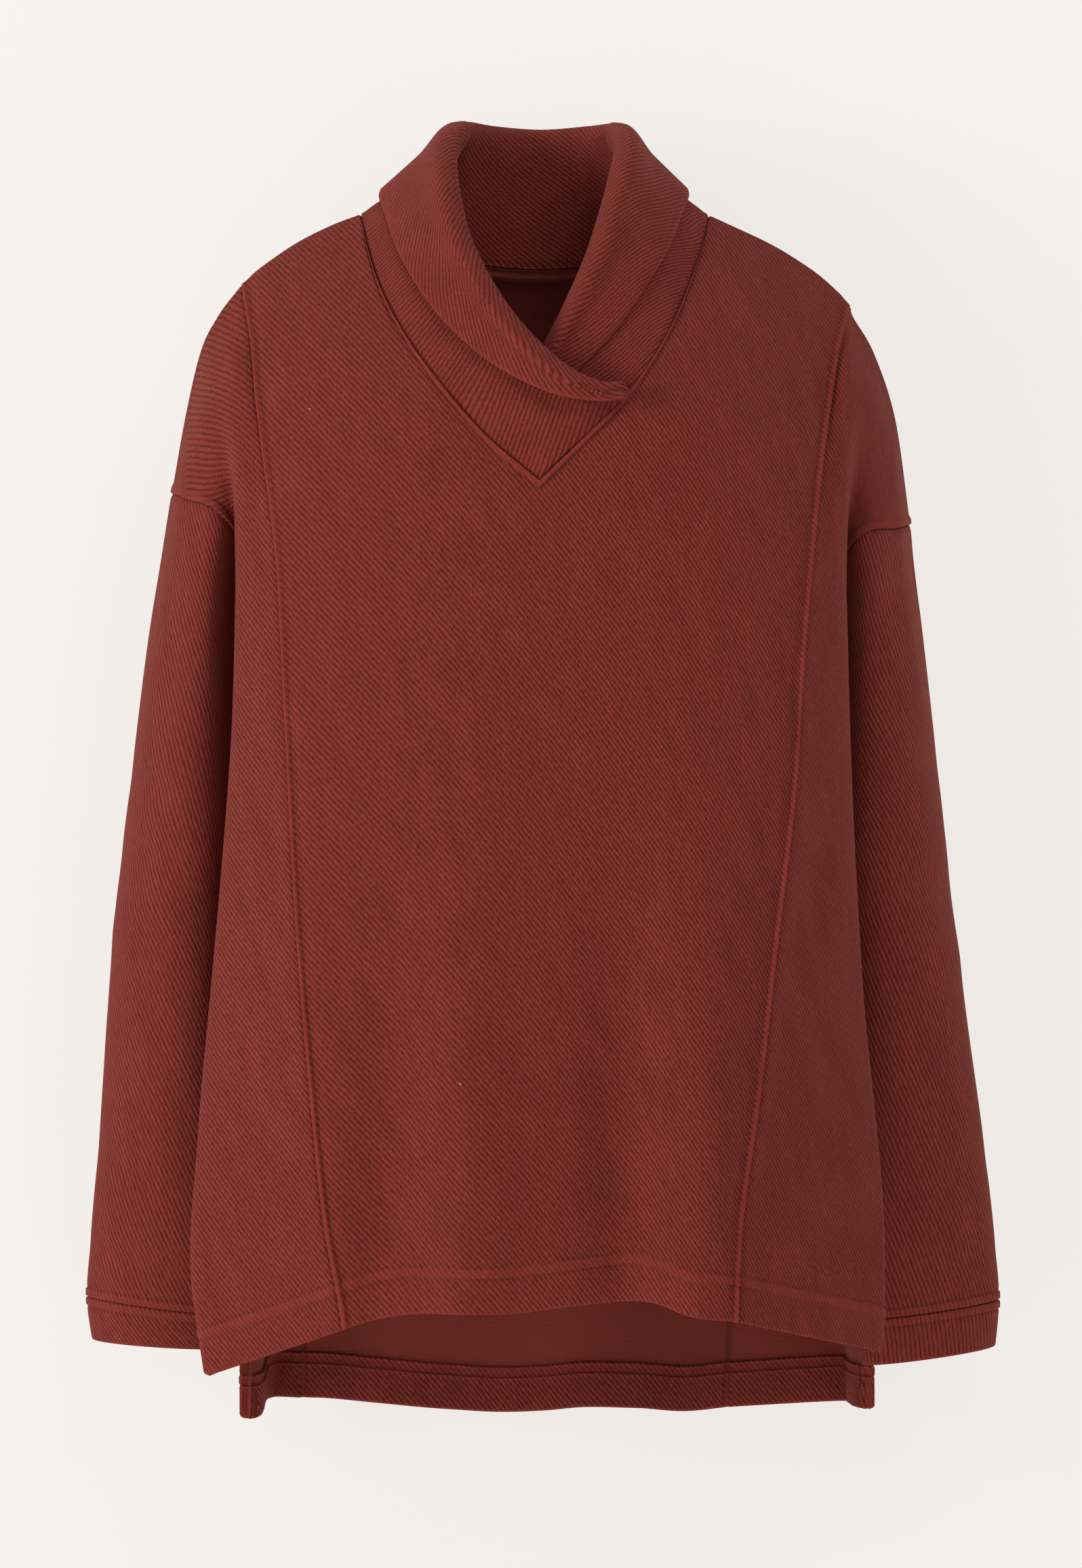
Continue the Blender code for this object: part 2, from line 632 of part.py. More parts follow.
def trim(grid, rows=(1, 1), columns=(1, 1)):
    """Draw the marked edges of a grid in by half a seam gap."""
    grid = grid.copy()
    half = SEAM_GAP / 2
    for flag, edge, inner in ((rows[0], 0, 1), (rows[1], -1, -2)):
        if flag:
            way = grid[inner] - grid[edge]
            grid[edge] += way / np.linalg.norm(way, axis=1)[:, None] * half
    for flag, edge, inner in ((columns[0], 0, 1), (columns[1], -1, -2)):
        if flag:
            way = grid[:, inner] - grid[:, edge]
            grid[:, edge] += way / np.linalg.norm(way, axis=1)[:, None] * half
    return grid


def material(name, colour, roughness):
    made = bpy.data.materials.new(name)
    made.use_nodes = True
    shader = made.node_tree.nodes["Principled BSDF"]
    shader.inputs["Base Color"].default_value = colour
    shader.inputs["Roughness"].default_value = roughness
    shader.inputs["Metallic"].default_value = 0.0
    made.diffuse_color = colour
    return made


def shell(name, outer, inner, closed, colour=RUST, roughness=0.92):
    """A named object from two grids of points, with its rims closed."""
    rows, columns = outer.shape[:2]
    mesh = bpy.data.meshes.new(name)
    work = bmesh.new()
    sheets = []
    for grid in (outer, inner):
        sheets.append([[work.verts.new(point * MM) for point in row] for row in grid])
    spans = columns if closed else columns - 1
    for number, sheet in enumerate(sheets):
        for i in range(rows - 1):
            for j in range(spans):
                k = (j + 1) % columns
                loop = [sheet[i][j], sheet[i + 1][j], sheet[i + 1][k], sheet[i][k]]
                work.faces.new(loop if number == 0 else loop[::-1])
    for i in (0, rows - 1):
        for j in range(spans):
            k = (j + 1) % columns
            work.faces.new([sheets[0][i][j], sheets[0][i][k], sheets[1][i][k], sheets[1][i][j]])
    if not closed:
        for j in (0, columns - 1):
            for i in range(rows - 1):
                work.faces.new([sheets[0][i][j], sheets[0][i + 1][j], sheets[1][i + 1][j], sheets[1][i][j]])
    bmesh.ops.recalc_face_normals(work, faces=work.faces)
    work.to_mesh(mesh)
    work.free()
    mesh.materials.append(material(name + "_knit", colour, roughness))
    made = bpy.data.objects.new(name, mesh)
    bpy.context.scene.collection.objects.link(made)
    return made


def hem_thickness(front):
    """Wall of a body panel at each of its rows: double within the turn-up."""
    t = row_parameters(front)
    wall = np.full(len(t), CLOTH)
    wall[-len(HEM_ROWS):] = CLOTH + TURNED
    return wall


def share(facing, spots):
    """Give the points that meet on a seam one normal, so that their edges run side by side."""
    total = sum(facing[name][spot] for name, spot in spots)
    total = total / np.linalg.norm(total, axis=-1)[..., None]
    for name, spot in spots:
        facing[name][spot] = total


def share_seams(facing):
    """Give the panels and sleeves one normal along each seam between them."""
    rows = slice(0, FAN_ROWS + BODY_ROWS + 1)
    for side, edge in ((-1, 0), (1, -1)):
        for word in ("front", "back"):
            share(facing, (((word, 0), (slice(None), edge)), ((word, side), (slice(None), 0))))
        share(facing, ((("front", side), (0,)), (("back", side), (0,))))
        share(facing, ((("front", side), (rows, -1)), (("back", side), (rows, -1))))
    count = CENTRE_SHOULDER_COLUMNS + 1
    for part in (slice(0, count), slice(-count, None)):
        share(facing, ((("front", 0), (0, part)), (("back", 0), (0, part))))
    for side, edge in ((-1, 0), (1, -1)):
        spots = []
        for word in ("front", "back"):
            spots.append(((word, side), (0, 0)))
            spots.append(((word, 0), (0, edge)))
        share(facing, spots)
        for k in range(1, FAN_ROWS):
            share(facing, ((("front", side), (k, -1)), (("sleeve", side), (0, k))))
            share(facing, ((("back", side), (k, -1)), (("sleeve", side), (0, 2 * FAN_ROWS - k))))
        for k in (0, FAN_ROWS):
            ends = ((("front", side), (k, -1)), (("back", side), (k, -1)), (("sleeve", side), (0, k)))
            share(facing, ends)
        share(facing, ((("sleeve", side), (-1,)), (("cuff", side), (0,))))


def build_body_and_sleeves():
    cols = neck_columns(CENTRE_SHOULDER_COLUMNS, CENTRE_NECK_COLUMNS)
    u = np.linspace(0.0, 1.0, SIDE_COLUMNS + 1)
    ring = np.linspace(0.0, 1.0, 2 * FAN_ROWS + 1)[:-1]
    grids = {}
    facing = {}
    for word, turn in (("front", 1.0), ("back", -1.0)):
        front = word == "front"
        t = row_parameters(front)
        grids[word, 0] = centre_surface(t, cols, front)
        facing[word, 0] = normals(grids[word, 0], False) * turn
        for side in (-1, 1):
            grids[word, side] = side_surface(side, t, u, front)
            facing[word, side] = normals(grids[word, side], False) * turn * side
    for side in (-1, 1):
        grids["sleeve", side] = sleeve_surface(side, np.linspace(0.0, 1.0, SLEEVE_ROWS + 1), ring)
        grids["cuff", side] = cuff_surface(side, np.array(CUFF_ROWS), ring)
        for word in ("sleeve", "cuff"):
            facing[word, side] = normals(grids[word, side], True) * -side
    share_seams(facing)
    places = {0: "_centre", -1: "_side_left", 1: "_side_right"}
    inner_faces = {}
    for (word, side), grid in grids.items():
        if word in ("sleeve", "cuff"):
            wall = CLOTH if word == "sleeve" else CUFF_CLOTH
            outer = trim(grid, (1, word == "sleeve"), (0, 0))
            shell(word + ("_left" if side < 0 else "_right"), outer, outer - facing[word, side] * wall, True)
            continue
        wall = hem_thickness(word == "front")[:, None, None]
        outer = trim(grid, (1, 0), (1, 1))
        inner_faces[word, side] = outer - facing[word, side] * wall
        shell(word + places[side], outer, inner_faces[word, side], False)
    return grids, inner_faces, facing


def build_collar(grids, facing):
    rows = np.linspace(0.0, 1.0, COLLAR_ROWS + 1)
    columns = np.linspace(0.0, 1.0, COLLAR_COLUMNS + 1)
    grid, look = collar_surface(rows, columns, grids, facing)
    half = COLLAR_CLOTH / 2
    shell("collar", grid + look * half, grid - look * half, False)


def build_tape(inner, facing):
    """The tape lies on the inner face of the back, in the first row of its points below the neckline."""
    first = CENTRE_SHOULDER_COLUMNS + 1
    last = CENTRE_SHOULDER_COLUMNS + 2 * CENTRE_NECK_COLUMNS
    upper = inner[0, first:last]
    lower = inner[1, first:last]
    out = facing[0, first:last] + facing[1, first:last]
    out = out / np.linalg.norm(out, axis=1)[:, None]
    length = np.linalg.norm(lower - upper, axis=1)[:, None]
    rows = [upper + (lower - upper) * depth / length for depth in (TAPE_DROP, TAPE_DEPTH + TAPE_DROP)]
    near = np.stack(rows) - out * TAPE_GAP
    shell("neck_tape", near, near - out * TAPE_CLOTH, False, RUST_INSIDE, 0.85)


for old in list(bpy.data.objects):
    bpy.data.objects.remove(old)

grids, inner_faces, facing = build_body_and_sleeves()
build_collar(grids, facing)
build_tape(inner_faces["back", 0], facing["back", 0])
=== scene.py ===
# Shawl collar tunic, dressed: a long-sleeved tunic in a heavy brushed twill-faced knit.
# Each piece is a thin shell on its solid's own form, with its seams, turned edges, creases and stitching.
# Sizes are in millimetres unless a name says otherwise. X runs to the viewer's right, the front faces -Y.

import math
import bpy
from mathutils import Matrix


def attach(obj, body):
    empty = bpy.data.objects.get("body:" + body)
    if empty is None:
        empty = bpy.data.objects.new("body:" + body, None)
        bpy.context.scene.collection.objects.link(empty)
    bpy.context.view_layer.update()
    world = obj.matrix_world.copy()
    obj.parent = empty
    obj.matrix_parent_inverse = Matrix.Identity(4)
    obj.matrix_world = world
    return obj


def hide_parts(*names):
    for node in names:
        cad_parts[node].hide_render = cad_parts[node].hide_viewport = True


bl_info = {
    "name": "Shawl Collar Tunic",
    "version": (1, 0, 0),
    "blender": (4, 5, 0),
    "location": "View3D > Sidebar > Tunic",
    "description": "Builds a long-sleeved knit tunic with a crossed shawl collar",
    "category": "Add Mesh",
}

import bpy
import numpy as np

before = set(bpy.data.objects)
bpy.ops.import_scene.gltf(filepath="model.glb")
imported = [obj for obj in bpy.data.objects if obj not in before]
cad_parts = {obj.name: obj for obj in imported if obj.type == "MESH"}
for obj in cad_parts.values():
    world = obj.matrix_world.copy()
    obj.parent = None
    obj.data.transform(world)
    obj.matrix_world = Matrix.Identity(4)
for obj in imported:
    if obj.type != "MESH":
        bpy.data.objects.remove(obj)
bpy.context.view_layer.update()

MM = 0.001

# Cloth
CLOTH = 2.2              # one layer of the knit
TURNED = 1.8             # what a turned-up edge adds to it
COLLAR_CLOTH = 3.8       # the collar is two layers, sewn and turned
TAPE_CLOTH = 1.0
TAPE_GAP = 0.6           # keeps the tape off the panel, whose faces are flat between their points
COLLAR_GAP = 0.5         # between the collar and the neckline
HEM_DEPTH = 29.0         # turn-up of the body hems
TAPE_DEPTH = 9.5
TAPE_DROP = 0.6          # the tape starts this far below the neckline

# Heights
UNDERARM_LEFT_Z = -222.0
UNDERARM_RIGHT_Z = -228.0
VENT_TOP_Z = -513.0
VENT_ROW = 0.82          # row of the top of the vents, between the underarm at 0.5 and the hem at 1
RIDGE_Y = 5.0            # the shoulder seam runs along the top of the shoulder
SHOULDER_SEAM_LEFT_Z = -36.0   # where the princess seams meet the shoulder seams
SHOULDER_SEAM_RIGHT_Z = -50.0
FRONT_SEAM_END_Z = -656.0
BACK_SEAM_END_Z = -725.0
SHOULDER_ROUND_FRONT = 215.0
SHOULDER_ROUND_BACK = 132.0
SHOULDER_POWER = 0.9
NECK_BACK_Z = -20.0
NECK_BACK_POWER = 2.2

# How far the body narrows in depth from its middle to its sides
FRONT_FLATTEN = 0.437
BACK_FLATTEN = 0.30
HALF_BODY = 190.0

# Top of the shoulder: distance from the middle, height
RIDGE_LEFT = ((0, 26), (60, 21), (110, 6.6), (126, 0.6), (159, -17.5), (182, -36.5), (196, -55), (212, -92))
RIDGE_RIGHT = (
    (0, 26), (60, 19), (102, 6.0), (114, 0.6), (150, -17.5), (176, -36.5), (186, -47), (206, -92),
)

# Depth of the middle of the body: height, front, back
BODY_DEPTH = (
    (40, 108, 92),
    (-60, 112, 100),
    (-160, 113, 112),
    (-260, 118, 112),
    (-400, 122, 108),
    (-550, 117, 105),
    (-650, 110, 105),
    (-740, 106, 105),
)

# Front princess seams: height, distance from the middle on the left and on the right
PRINCESS = (
    (-36, 182, 192),
    (-50, 179, 187.5),
    (-71, 175, 181),
    (-112, 170, 173),
    (-145, 165, 167.5),
    (-203, 156.5, 160.5),
    (-277, 152, 154),
    (-340, 148.5, 150),
    (-432, 143, 139),
    (-525, 135, 128),
    (-596, 127.5, 118),
    (-656, 117, 115.5),
    (-700, 114, 115),
)

# Back panel seams: height, distance from the middle on the left and on the right
BACK_SEAM = (
    (-36, 182, 191),
    (-50, 179, 187.5),
    (-90, 171, 175),
    (-150, 166, 164),
    (-222, 162, 158),
    (-350, 157, 147),
    (-500, 153, 133),
    (-620, 151, 123),
    (-730, 150, 118),
)

# Lower edge of the front and of the back: distance across, height
FRONT_HEM = (
    (-201, -692), (-178, -683), (-151, -670), (-118, -659), (-99, -653), (-72, -648), (-40, -647.5),
    (-12, -647), (14, -644), (40, -642), (65, -642), (86, -649), (113, -653), (155, -663), (182, -670),
    (202, -679),
)
BACK_HEM = (
    (-187, -729.5), (-176.5, -729.5), (-174, -722), (-171, -721), (-151, -720.5), (-101, -725), (-60, -730),
    (-25, -732.5), (2, -731), (26, -728), (58, -729), (90, -731.5), (125, -726), (153, -721), (178, -722),
    (207, -724),
)

# Soft upright folds: where across, half width, how far out at the hem
FRONT_FOLDS = ((-40, 30, 8), (98, 26, 9), (-88, 22, -6), (50, 24, -10), (-134, 24, 3))
BACK_FOLDS = ((-30, 42, 8), (88, 30, 7), (30, 28, -6), (140, 26, -6), (-95, 34, -4))
FOLD_TOP_Z = -250.0
FOLD_FULL_Z = -660.0

# Neckline of the front, drawn round from one shoulder neck point to the other: across, height
NECK_LEFT = ((-110, 6.6), (-105, -14), (-97.7, -38), (-81, -72), (-57, -106), (-33, -134), (-1, -161.5))
NECK_RIGHT = ((102, 6.0), (98.5, -10), (93, -27), (78, -65), (48.4, -112), (22, -139), (-1, -161.5))

# Side panels above the underarm, in rows that fan round the arm: distance out, depth, height.
# Each row runs from beside the panel seam over the body's edge and into the arm.
FAN_FRONT = (
    ((196, 6, -55), (206.5, 8, -76), (216, 12, -115)),
    ((187, -38, -98), (199, -29, -115), (208, -21, -142)),
    ((182, -55, -150), (185.5, -38, -160), (189, -36, -171)),
    ((181, -60, -222), (173, -24, -222), (167, 0, -222)),
)
FAN_BACK = (
    ((196, 6, -55), (206.5, 8, -76), (216, 12, -115)),
    ((190, 50, -104), (203, 45, -121), (212, 43, -147)),
    ((181, 77, -156), (190, 74, -166), (194, 73, -176)),
    ((174, 80, -222), (173, 62, -222), (168, 43, -222)),
)

# Places of those rows between the shoulder at 0 and the underarm at 0.5,
# and how far down the panel seam each of them starts
FAN_PLACES = (0.0, 0.17, 0.33, 0.5)
FAN_SHARES = (0.0, 0.29, 0.60, 1.0)

# Seam between the dropped shoulder and the sleeve: distance out, depth, height on the left, on the right
DROP_FRONT = (
    (224.6, 15, -162, -181), (214.5, -21, -167, -185), (190, -37, -179, -191), (165, 22, -222, -228),
)
DROP_BACK = ((224.6, 15, -162, -181), (216, 49, -169, -186), (194, 74, -184, -196), (165, 22, -222, -228))

# Where the guides of a side panel lie between its inner seam at 0 and its outer edge at 1
SIDE_KNOTS = (0.0, 0.30, 0.55, 0.78, 1.0)

# Sides of the body below the underarm: height, then distance out and depth of three guides
SIDE_FRONT = (
    (-222, (181, -60), (173, -24), (167, 0)),
    (-300, (183, -60), (174, -28), (168, -5)),
    (-400, (190, -57), (180, -32), (172, -12)),
    (-460, (195, -53), (187, -34), (178, -20)),
    (-513, (199, -51), (195, -37), (188, -30)),
    (-560, (201, -52), (202, -43), (199, -37)),
    (-626, (203, -54), (206.5, -46), (208, -41)),
    (-690, (193, -52), (197, -45), (199.5, -39)),
)
SIDE_BACK = (
    (-222, (174, 80), (173, 62), (168, 43)),
    (-300, (171, 81), (171, 62), (168, 38)),
    (-400, (168, 84), (170, 62), (170, 34)),
    (-460, (166, 86), (170, 62), (171, 27)),
    (-513, (165, 88), (171, 64), (173, 24)),
    (-600, (164, 90), (171, 72), (175, 44)),
    (-660, (165, 90), (172, 75), (175, 55)),
    (-735, (168, 89), (174, 80), (176.5, 67)),
)

# Side seam down to the vent, and the turned edges of the vent: height, distance out and depth
SIDE_SEAM = (
    (-222, (165, 22)), (-300, (166, 16)), (-400, (169.5, 6)), (-460, (174, -8)), (-513, (184, -24)),
)
VENT_FRONT = ((-513, (184, -24)), (-560, (196, -33)), (-626, (208, -37)), (-690, (201, -34)))
VENT_BACK = ((-513, (184, -24)), (-600, (178, 10)), (-660, (184.5, 40)), (-735, (186.5, 60)))

# What the right side adds to the left side's distances, from nothing at the underarm: height, front, back
UNDERARM_EASE = 120.0
RIGHT_SIDE = (
    (-60, -6, -6),
    (-110, -1, -1),
    (-222, 0, 0),
    (-300, 0, 0),
    (-400, -3, 0),
    (-470, -5, 0),
    (-513, -5, -2),
    (-560, -4, 4),
    (-626, -4, 12),
    (-690, 1, 19),
    (-735, 1, 20),
)

# Sleeves: height of the outer side, distance out of the outer side on the left and right,
# width, middle of the depth, depth
SLEEVE = (
    (-162, 224.6, 224.6, 60, 18, 114),
    (-203, 231.2, 228.0, 60, 18, 110),
    (-240, 237.4, 232.5, 62, 18, 104),
    (-332, 249.7, 242.6, 66, 19, 92),
    (-406, 258.8, 250.7, 71, 20, 82),
    (-481, 265.0, 260.0, 76, 21, 72),
    (-556, 270.2, 270.5, 80, 23, 62),
    (-620, 276.0, 278.0, 86, 26, 52),
    (-655, 278.0, 280.5, 87, 27, 46),
    (-690, 273.0, 277.5, 82, 28, 43),
)
CUFF_SEAM_LEFT = (-652, -661)     # height at the outer side, at the inner side
CUFF_SEAM_RIGHT = (-654, -664)
CUFF_END_LEFT = (-679, -682)
CUFF_END_RIGHT = (-683, -692)
CUFF_CLOTH = 3.2
SLEEVE_SKEW = 0.25                # the inner side of a sleeve hangs a little further forward
SLEEVE_FADE = 0.45                # the drop seam's own outline is lost by this share of the sleeve

# Collar: place along the neckline, how far behind it, then the roll line and the free edge.
# Places: 0 right shoulder neck point, 1 the V, 2 left shoulder neck point, 3 right one again, 4 the V.
# The rows go from the end that crosses over, round the back of the neck, to the end beneath.
COLLAR = (
    (0.65, 0, (49, -106, -105.5), (48, -111.5, -113)),
    (0.84, 0, (34, -111, -105.5), (32, -115, -115)),
    (1.00, 0, (14, -110, -96), (8, -115, -112)),
    (1.206, 0, (-10, -101, -73), (-18, -103, -100)),
    (1.386, 0, (-28, -86, -47), (-40, -92, -84)),
    (1.59, 0, (-43, -63, -15), (-63, -73, -59)),
    (1.774, 0, (-51, -35, 20), (-82, -42, -26)),
    (1.917, 0, (-52, -8, 44), (-92, -8, 2)),
    (2.00, 0, (-46, 20, 61), (-95, 20, 18)),
    (2.085, 0, (-44, 46, 66), (-78, 56, 16)),
    (2.283, 0, (-28, 66, 66), (-42, 84, 8)),
    (2.519, 0, (0, 74, 65), (0, 92, 4)),
    (2.755, 0, (28, 66, 66), (42, 84, 8)),
    (2.934, 0, (42, 46, 65), (74, 56, 16)),
    (3.00, 0, (42, 20, 60.5), (87, 20, 18)),
    (3.09, 0, (46, -10, 45), (82, -14, 0)),
    (3.25, 0, (43, -30, 28), (73, -42, -24)),
    (3.40, 0, (37, -48, 4), (60, -60, -47)),
    (3.54, 1, (27, -62, -28), (46, -72, -70)),
    (3.67, 7, (14, -72, -58), (32, -79, -87)),
    (3.77, 10, (2, -78, -82), (16, -83, -104)),
)
COLLAR_KNOTS = (0.0, 0.27, 0.47, 0.53, 0.59, 0.80, 1.0)
STAND_BOW = 5.0
FALL_BOW = 4.5
EDGE_LIFT = 4.0
END_EASE = 0.45                   # along this much of the neckline the over end flattens into its seam
END_SHARE = 0.45
ROLL_HALF = 5.5
ROLL_DROP = 5.0

# Places across the centre panels: the neckline's two ends and its middle
NECK_FROM = 0.2
NECK_MIDDLE = 0.5
NECK_TO = 0.8


def through(knots, values, t):
    """Smooth curve through the rows of values, read at t."""
    knots = np.asarray(knots, float)
    values = np.asarray(values, float)
    t = np.asarray(t, float)
    slopes = np.gradient(values, knots, axis=0)
    low = np.clip(np.searchsorted(knots, t, side="right") - 1, 0, len(knots) - 2)
    step = knots[low + 1] - knots[low]
    f = np.clip((t - knots[low]) / step, 0.0, 1.0)
    extra = (1,) * (values.ndim - 1)
    f = f.reshape(f.shape + extra)
    step = step.reshape(step.shape + extra)
    start = values[low] * (2 * f**3 - 3 * f**2 + 1) + slopes[low] * step * (f**3 - 2 * f**2 + f)
    end = values[low + 1] * (3 * f**2 - 2 * f**3) + slopes[low + 1] * step * (f**3 - f**2)
    return start + end


def column(table, at, x, key=0):
    """One column of a table, read smoothly at x."""
    rows = sorted(table, key=lambda row: row[key])
    return through([row[key] for row in rows], [row[at] for row in rows], x)


def smooth_step(x):
    x = np.clip(x, 0.0, 1.0)
    return x * x * (3 - 2 * x)


def ridge_z(x):
    """Height of the top of the shoulder."""
    x = np.asarray(x, float)
    return np.where(x < 0, column(RIDGE_LEFT, 1, -x), column(RIDGE_RIGHT, 1, x))


def folds(table, x, z):
    """How far the soft upright folds stand out."""
    grow = smooth_step((FOLD_TOP_Z - z) / (FOLD_TOP_Z - FOLD_FULL_Z))
    out = 0.0
    for where, half, depth in table:
        out = out + depth * np.exp(-((x - where) / half) ** 2)
    return out * grow


def rounding(x, z, reach):
    """Nought at the top of the shoulder, one where the body is at its full depth."""
    t = np.clip((ridge_z(x) - z) / reach, 0.0, 1.0)
    return (1 - (1 - t) ** 2) ** SHOULDER_POWER


def front_y(x, z):
    flat = 1 - FRONT_FLATTEN * (np.abs(x) / HALF_BODY) ** 3
    full = -column(BODY_DEPTH, 1, z) * flat - folds(FRONT_FOLDS, x, z)
    return RIDGE_Y + (full - RIDGE_Y) * rounding(x, z, SHOULDER_ROUND_FRONT)


def back_y(x, z):
    flat = 1 - BACK_FLATTEN * (np.abs(x) / HALF_BODY) ** 3
    full = column(BODY_DEPTH, 2, z) * flat + folds(BACK_FOLDS, x, z)
    return RIDGE_Y + (full - RIDGE_Y) * rounding(x, z, SHOULDER_ROUND_BACK)


def princess_x(side, z):
    return side * column(PRINCESS, 1 if side < 0 else 2, z)


def shoulder_seam_x(side):
    """Where a princess seam meets the shoulder seam."""
    return float(princess_x(side, np.array(SHOULDER_SEAM_LEFT_Z if side < 0 else SHOULDER_SEAM_RIGHT_Z)))


def back_seam_x(side, z):
    return side * column(BACK_SEAM, 1 if side < 0 else 2, z)


def row_height(t, under, hem_z):
    """Height of a row below the underarm, on a line that ends at hem_z."""
    upper = under + (VENT_TOP_Z - under) * (t - 0.5) / (VENT_ROW - 0.5)
    lower = VENT_TOP_Z + (hem_z - VENT_TOP_Z) * (t - VENT_ROW) / (1 - VENT_ROW)
    return np.where(t <= VENT_ROW, upper, lower)


def fan_height(side, t):
    """Height of the inner seam of a side panel at row t above the underarm."""
    top = float(ridge_z(shoulder_seam_x(side)))
    under = UNDERARM_LEFT_Z if side < 0 else UNDERARM_RIGHT_Z
    return top + (under - top) * through(FAN_PLACES, FAN_SHARES, t)


def seam_line(side, t, front):
    """The princess seam or the back panel seam, as points, at the rows t."""
    under = UNDERARM_LEFT_Z if side < 0 else UNDERARM_RIGHT_Z
    seam = princess_x if front else back_seam_x
    hem = FRONT_HEM if front else BACK_HEM
    hem_x = seam(side, np.array(FRONT_SEAM_END_Z if front else BACK_SEAM_END_Z))
    hem_z = float(column(hem, 1, hem_x))
    below = row_height(t, under, hem_z)
    z = np.where(t <= 0.5, fan_height(side, t), below)
    x = seam(side, z)
    y = front_y(x, z) if front else back_y(x, z)
    return np.stack([x, y, z], axis=-1)


def guide_line(side, t, front, index):
    """One guide of a side panel: 0 to 2 inside it, 3 its outer edge."""
    fan = FAN_FRONT if front else FAN_BACK
    drop = DROP_FRONT if front else DROP_BACK
    table = SIDE_FRONT if front else SIDE_BACK
    under = UNDERARM_LEFT_Z if side < 0 else UNDERARM_RIGHT_Z
    if index < 3:
        upper = [row[index] for row in fan]
        upper = [(x, y, z + (under - UNDERARM_LEFT_Z) * z / UNDERARM_LEFT_Z) for x, y, z in upper]
    else:
        upper = [(row[0], row[1], row[2 if side < 0 else 3]) for row in drop]
    upper = np.array(upper, float)
    high = through(FAN_PLACES, upper, np.clip(t, 0.0, 0.5))
    vent = VENT_FRONT if front else VENT_BACK
    last = vent[-1] if index == 3 else table[-1]
    hem = FRONT_HEM if front else BACK_HEM
    hem_x = last[1][0] if index == 3 else last[1 + index][0]
    hem_z = float(column(hem, 1, side * (hem_x + right_shift(side, last[0], front))))
    z = row_height(np.clip(t, 0.5, 1.0), under, hem_z)
    if index == 3:
        seam = read_pairs(SIDE_SEAM, 1, z)
        turned = read_pairs(vent, 1, z)
        low_xy = np.where((z >= VENT_TOP_Z)[..., None], seam, turned)
    else:
        low_xy = read_pairs(table, 1 + index, z)
    low = np.concatenate([low_xy, z[..., None]], axis=-1)
    line = np.where((t <= 0.5)[..., None], high, low)
    if index < 3:
        line[..., 0] = line[..., 0] + right_shift(side, line[..., 2], front)
    else:
        line[..., 0] = line[..., 0] + np.where(t > 0.5, right_shift(side, z, front) * below_arm(z), 0.0)
    line[..., 0] = line[..., 0] * side
    return line


def read_pairs(table, at, z):
    """The pairs (distance out, depth) of one column of a table, read smoothly at the heights z."""
    return through([row[0] for row in table][::-1], [row[at] for row in table][::-1], z)


def below_arm(z):
    """The side seam starts from one underarm point, whatever the side."""
    return smooth_step((UNDERARM_LEFT_Z - z) / UNDERARM_EASE)


def right_shift(side, z, front):
    if side < 0:
        return 0.0 * np.asarray(z, float)
    return column(RIGHT_SIDE, 1 if front else 2, z)


def side_surface(side, t, u, front):
    """Outer face of a side panel: t down, u from its inner seam to its outer edge."""
    lines = [seam_line(side, t, front)]
    for index in range(4):
        lines.append(guide_line(side, t, front, index))
    return np.moveaxis(through(SIDE_KNOTS, np.stack(lines), u), 0, 1)


def arc_points(points, f):
    """Points at the shares f of the length of a smooth line through points."""
    points = np.asarray(points, float)
    knots = np.concatenate([[0.0], np.cumsum(np.linalg.norm(np.diff(points, axis=0), axis=1))])
    return through(knots / knots[-1], points, f)


def top_line(u, front):
    """Upper edge of a centre panel (across, height): shoulder, neckline, shoulder."""
    left_end = shoulder_seam_x(-1)
    right_end = shoulder_seam_x(1)
    x = np.zeros_like(u)
    z = np.zeros_like(u)
    part = u <= NECK_FROM
    x[part] = left_end + (NECK_LEFT[0][0] - left_end) * u[part] / NECK_FROM
    z[part] = ridge_z(x[part])
    part = u >= NECK_TO
    x[part] = NECK_RIGHT[0][0] + (right_end - NECK_RIGHT[0][0]) * (u[part] - NECK_TO) / (1 - NECK_TO)
    z[part] = ridge_z(x[part])
    part = (u > NECK_FROM) & (u < NECK_TO)
    if front:
        left = part & (u <= NECK_MIDDLE)
        right = part & (u > NECK_MIDDLE)
        line = arc_points(NECK_LEFT, (u[left] - NECK_FROM) / (NECK_MIDDLE - NECK_FROM))
        x[left] = line[:, 0]
        z[left] = line[:, 1]
        line = arc_points(NECK_RIGHT[::-1], (u[right] - NECK_MIDDLE) / (NECK_TO - NECK_MIDDLE))
        x[right] = line[:, 0]
        z[right] = line[:, 1]
    else:
        share = (u[part] - NECK_FROM) / (NECK_TO - NECK_FROM)
        x[part] = NECK_LEFT[0][0] + (NECK_RIGHT[0][0] - NECK_LEFT[0][0]) * share
        z[part] = back_neck_z(x[part])
    return x, z


def back_neck_z(x):
    """Height of the back neckline."""
    x = np.asarray(x, float)
    end = np.where(x < 0, -NECK_LEFT[0][0], NECK_RIGHT[0][0])
    high = np.where(x < 0, NECK_LEFT[0][1], NECK_RIGHT[0][1])
    return NECK_BACK_Z + (high - NECK_BACK_Z) * (np.abs(x) / end) ** NECK_BACK_POWER


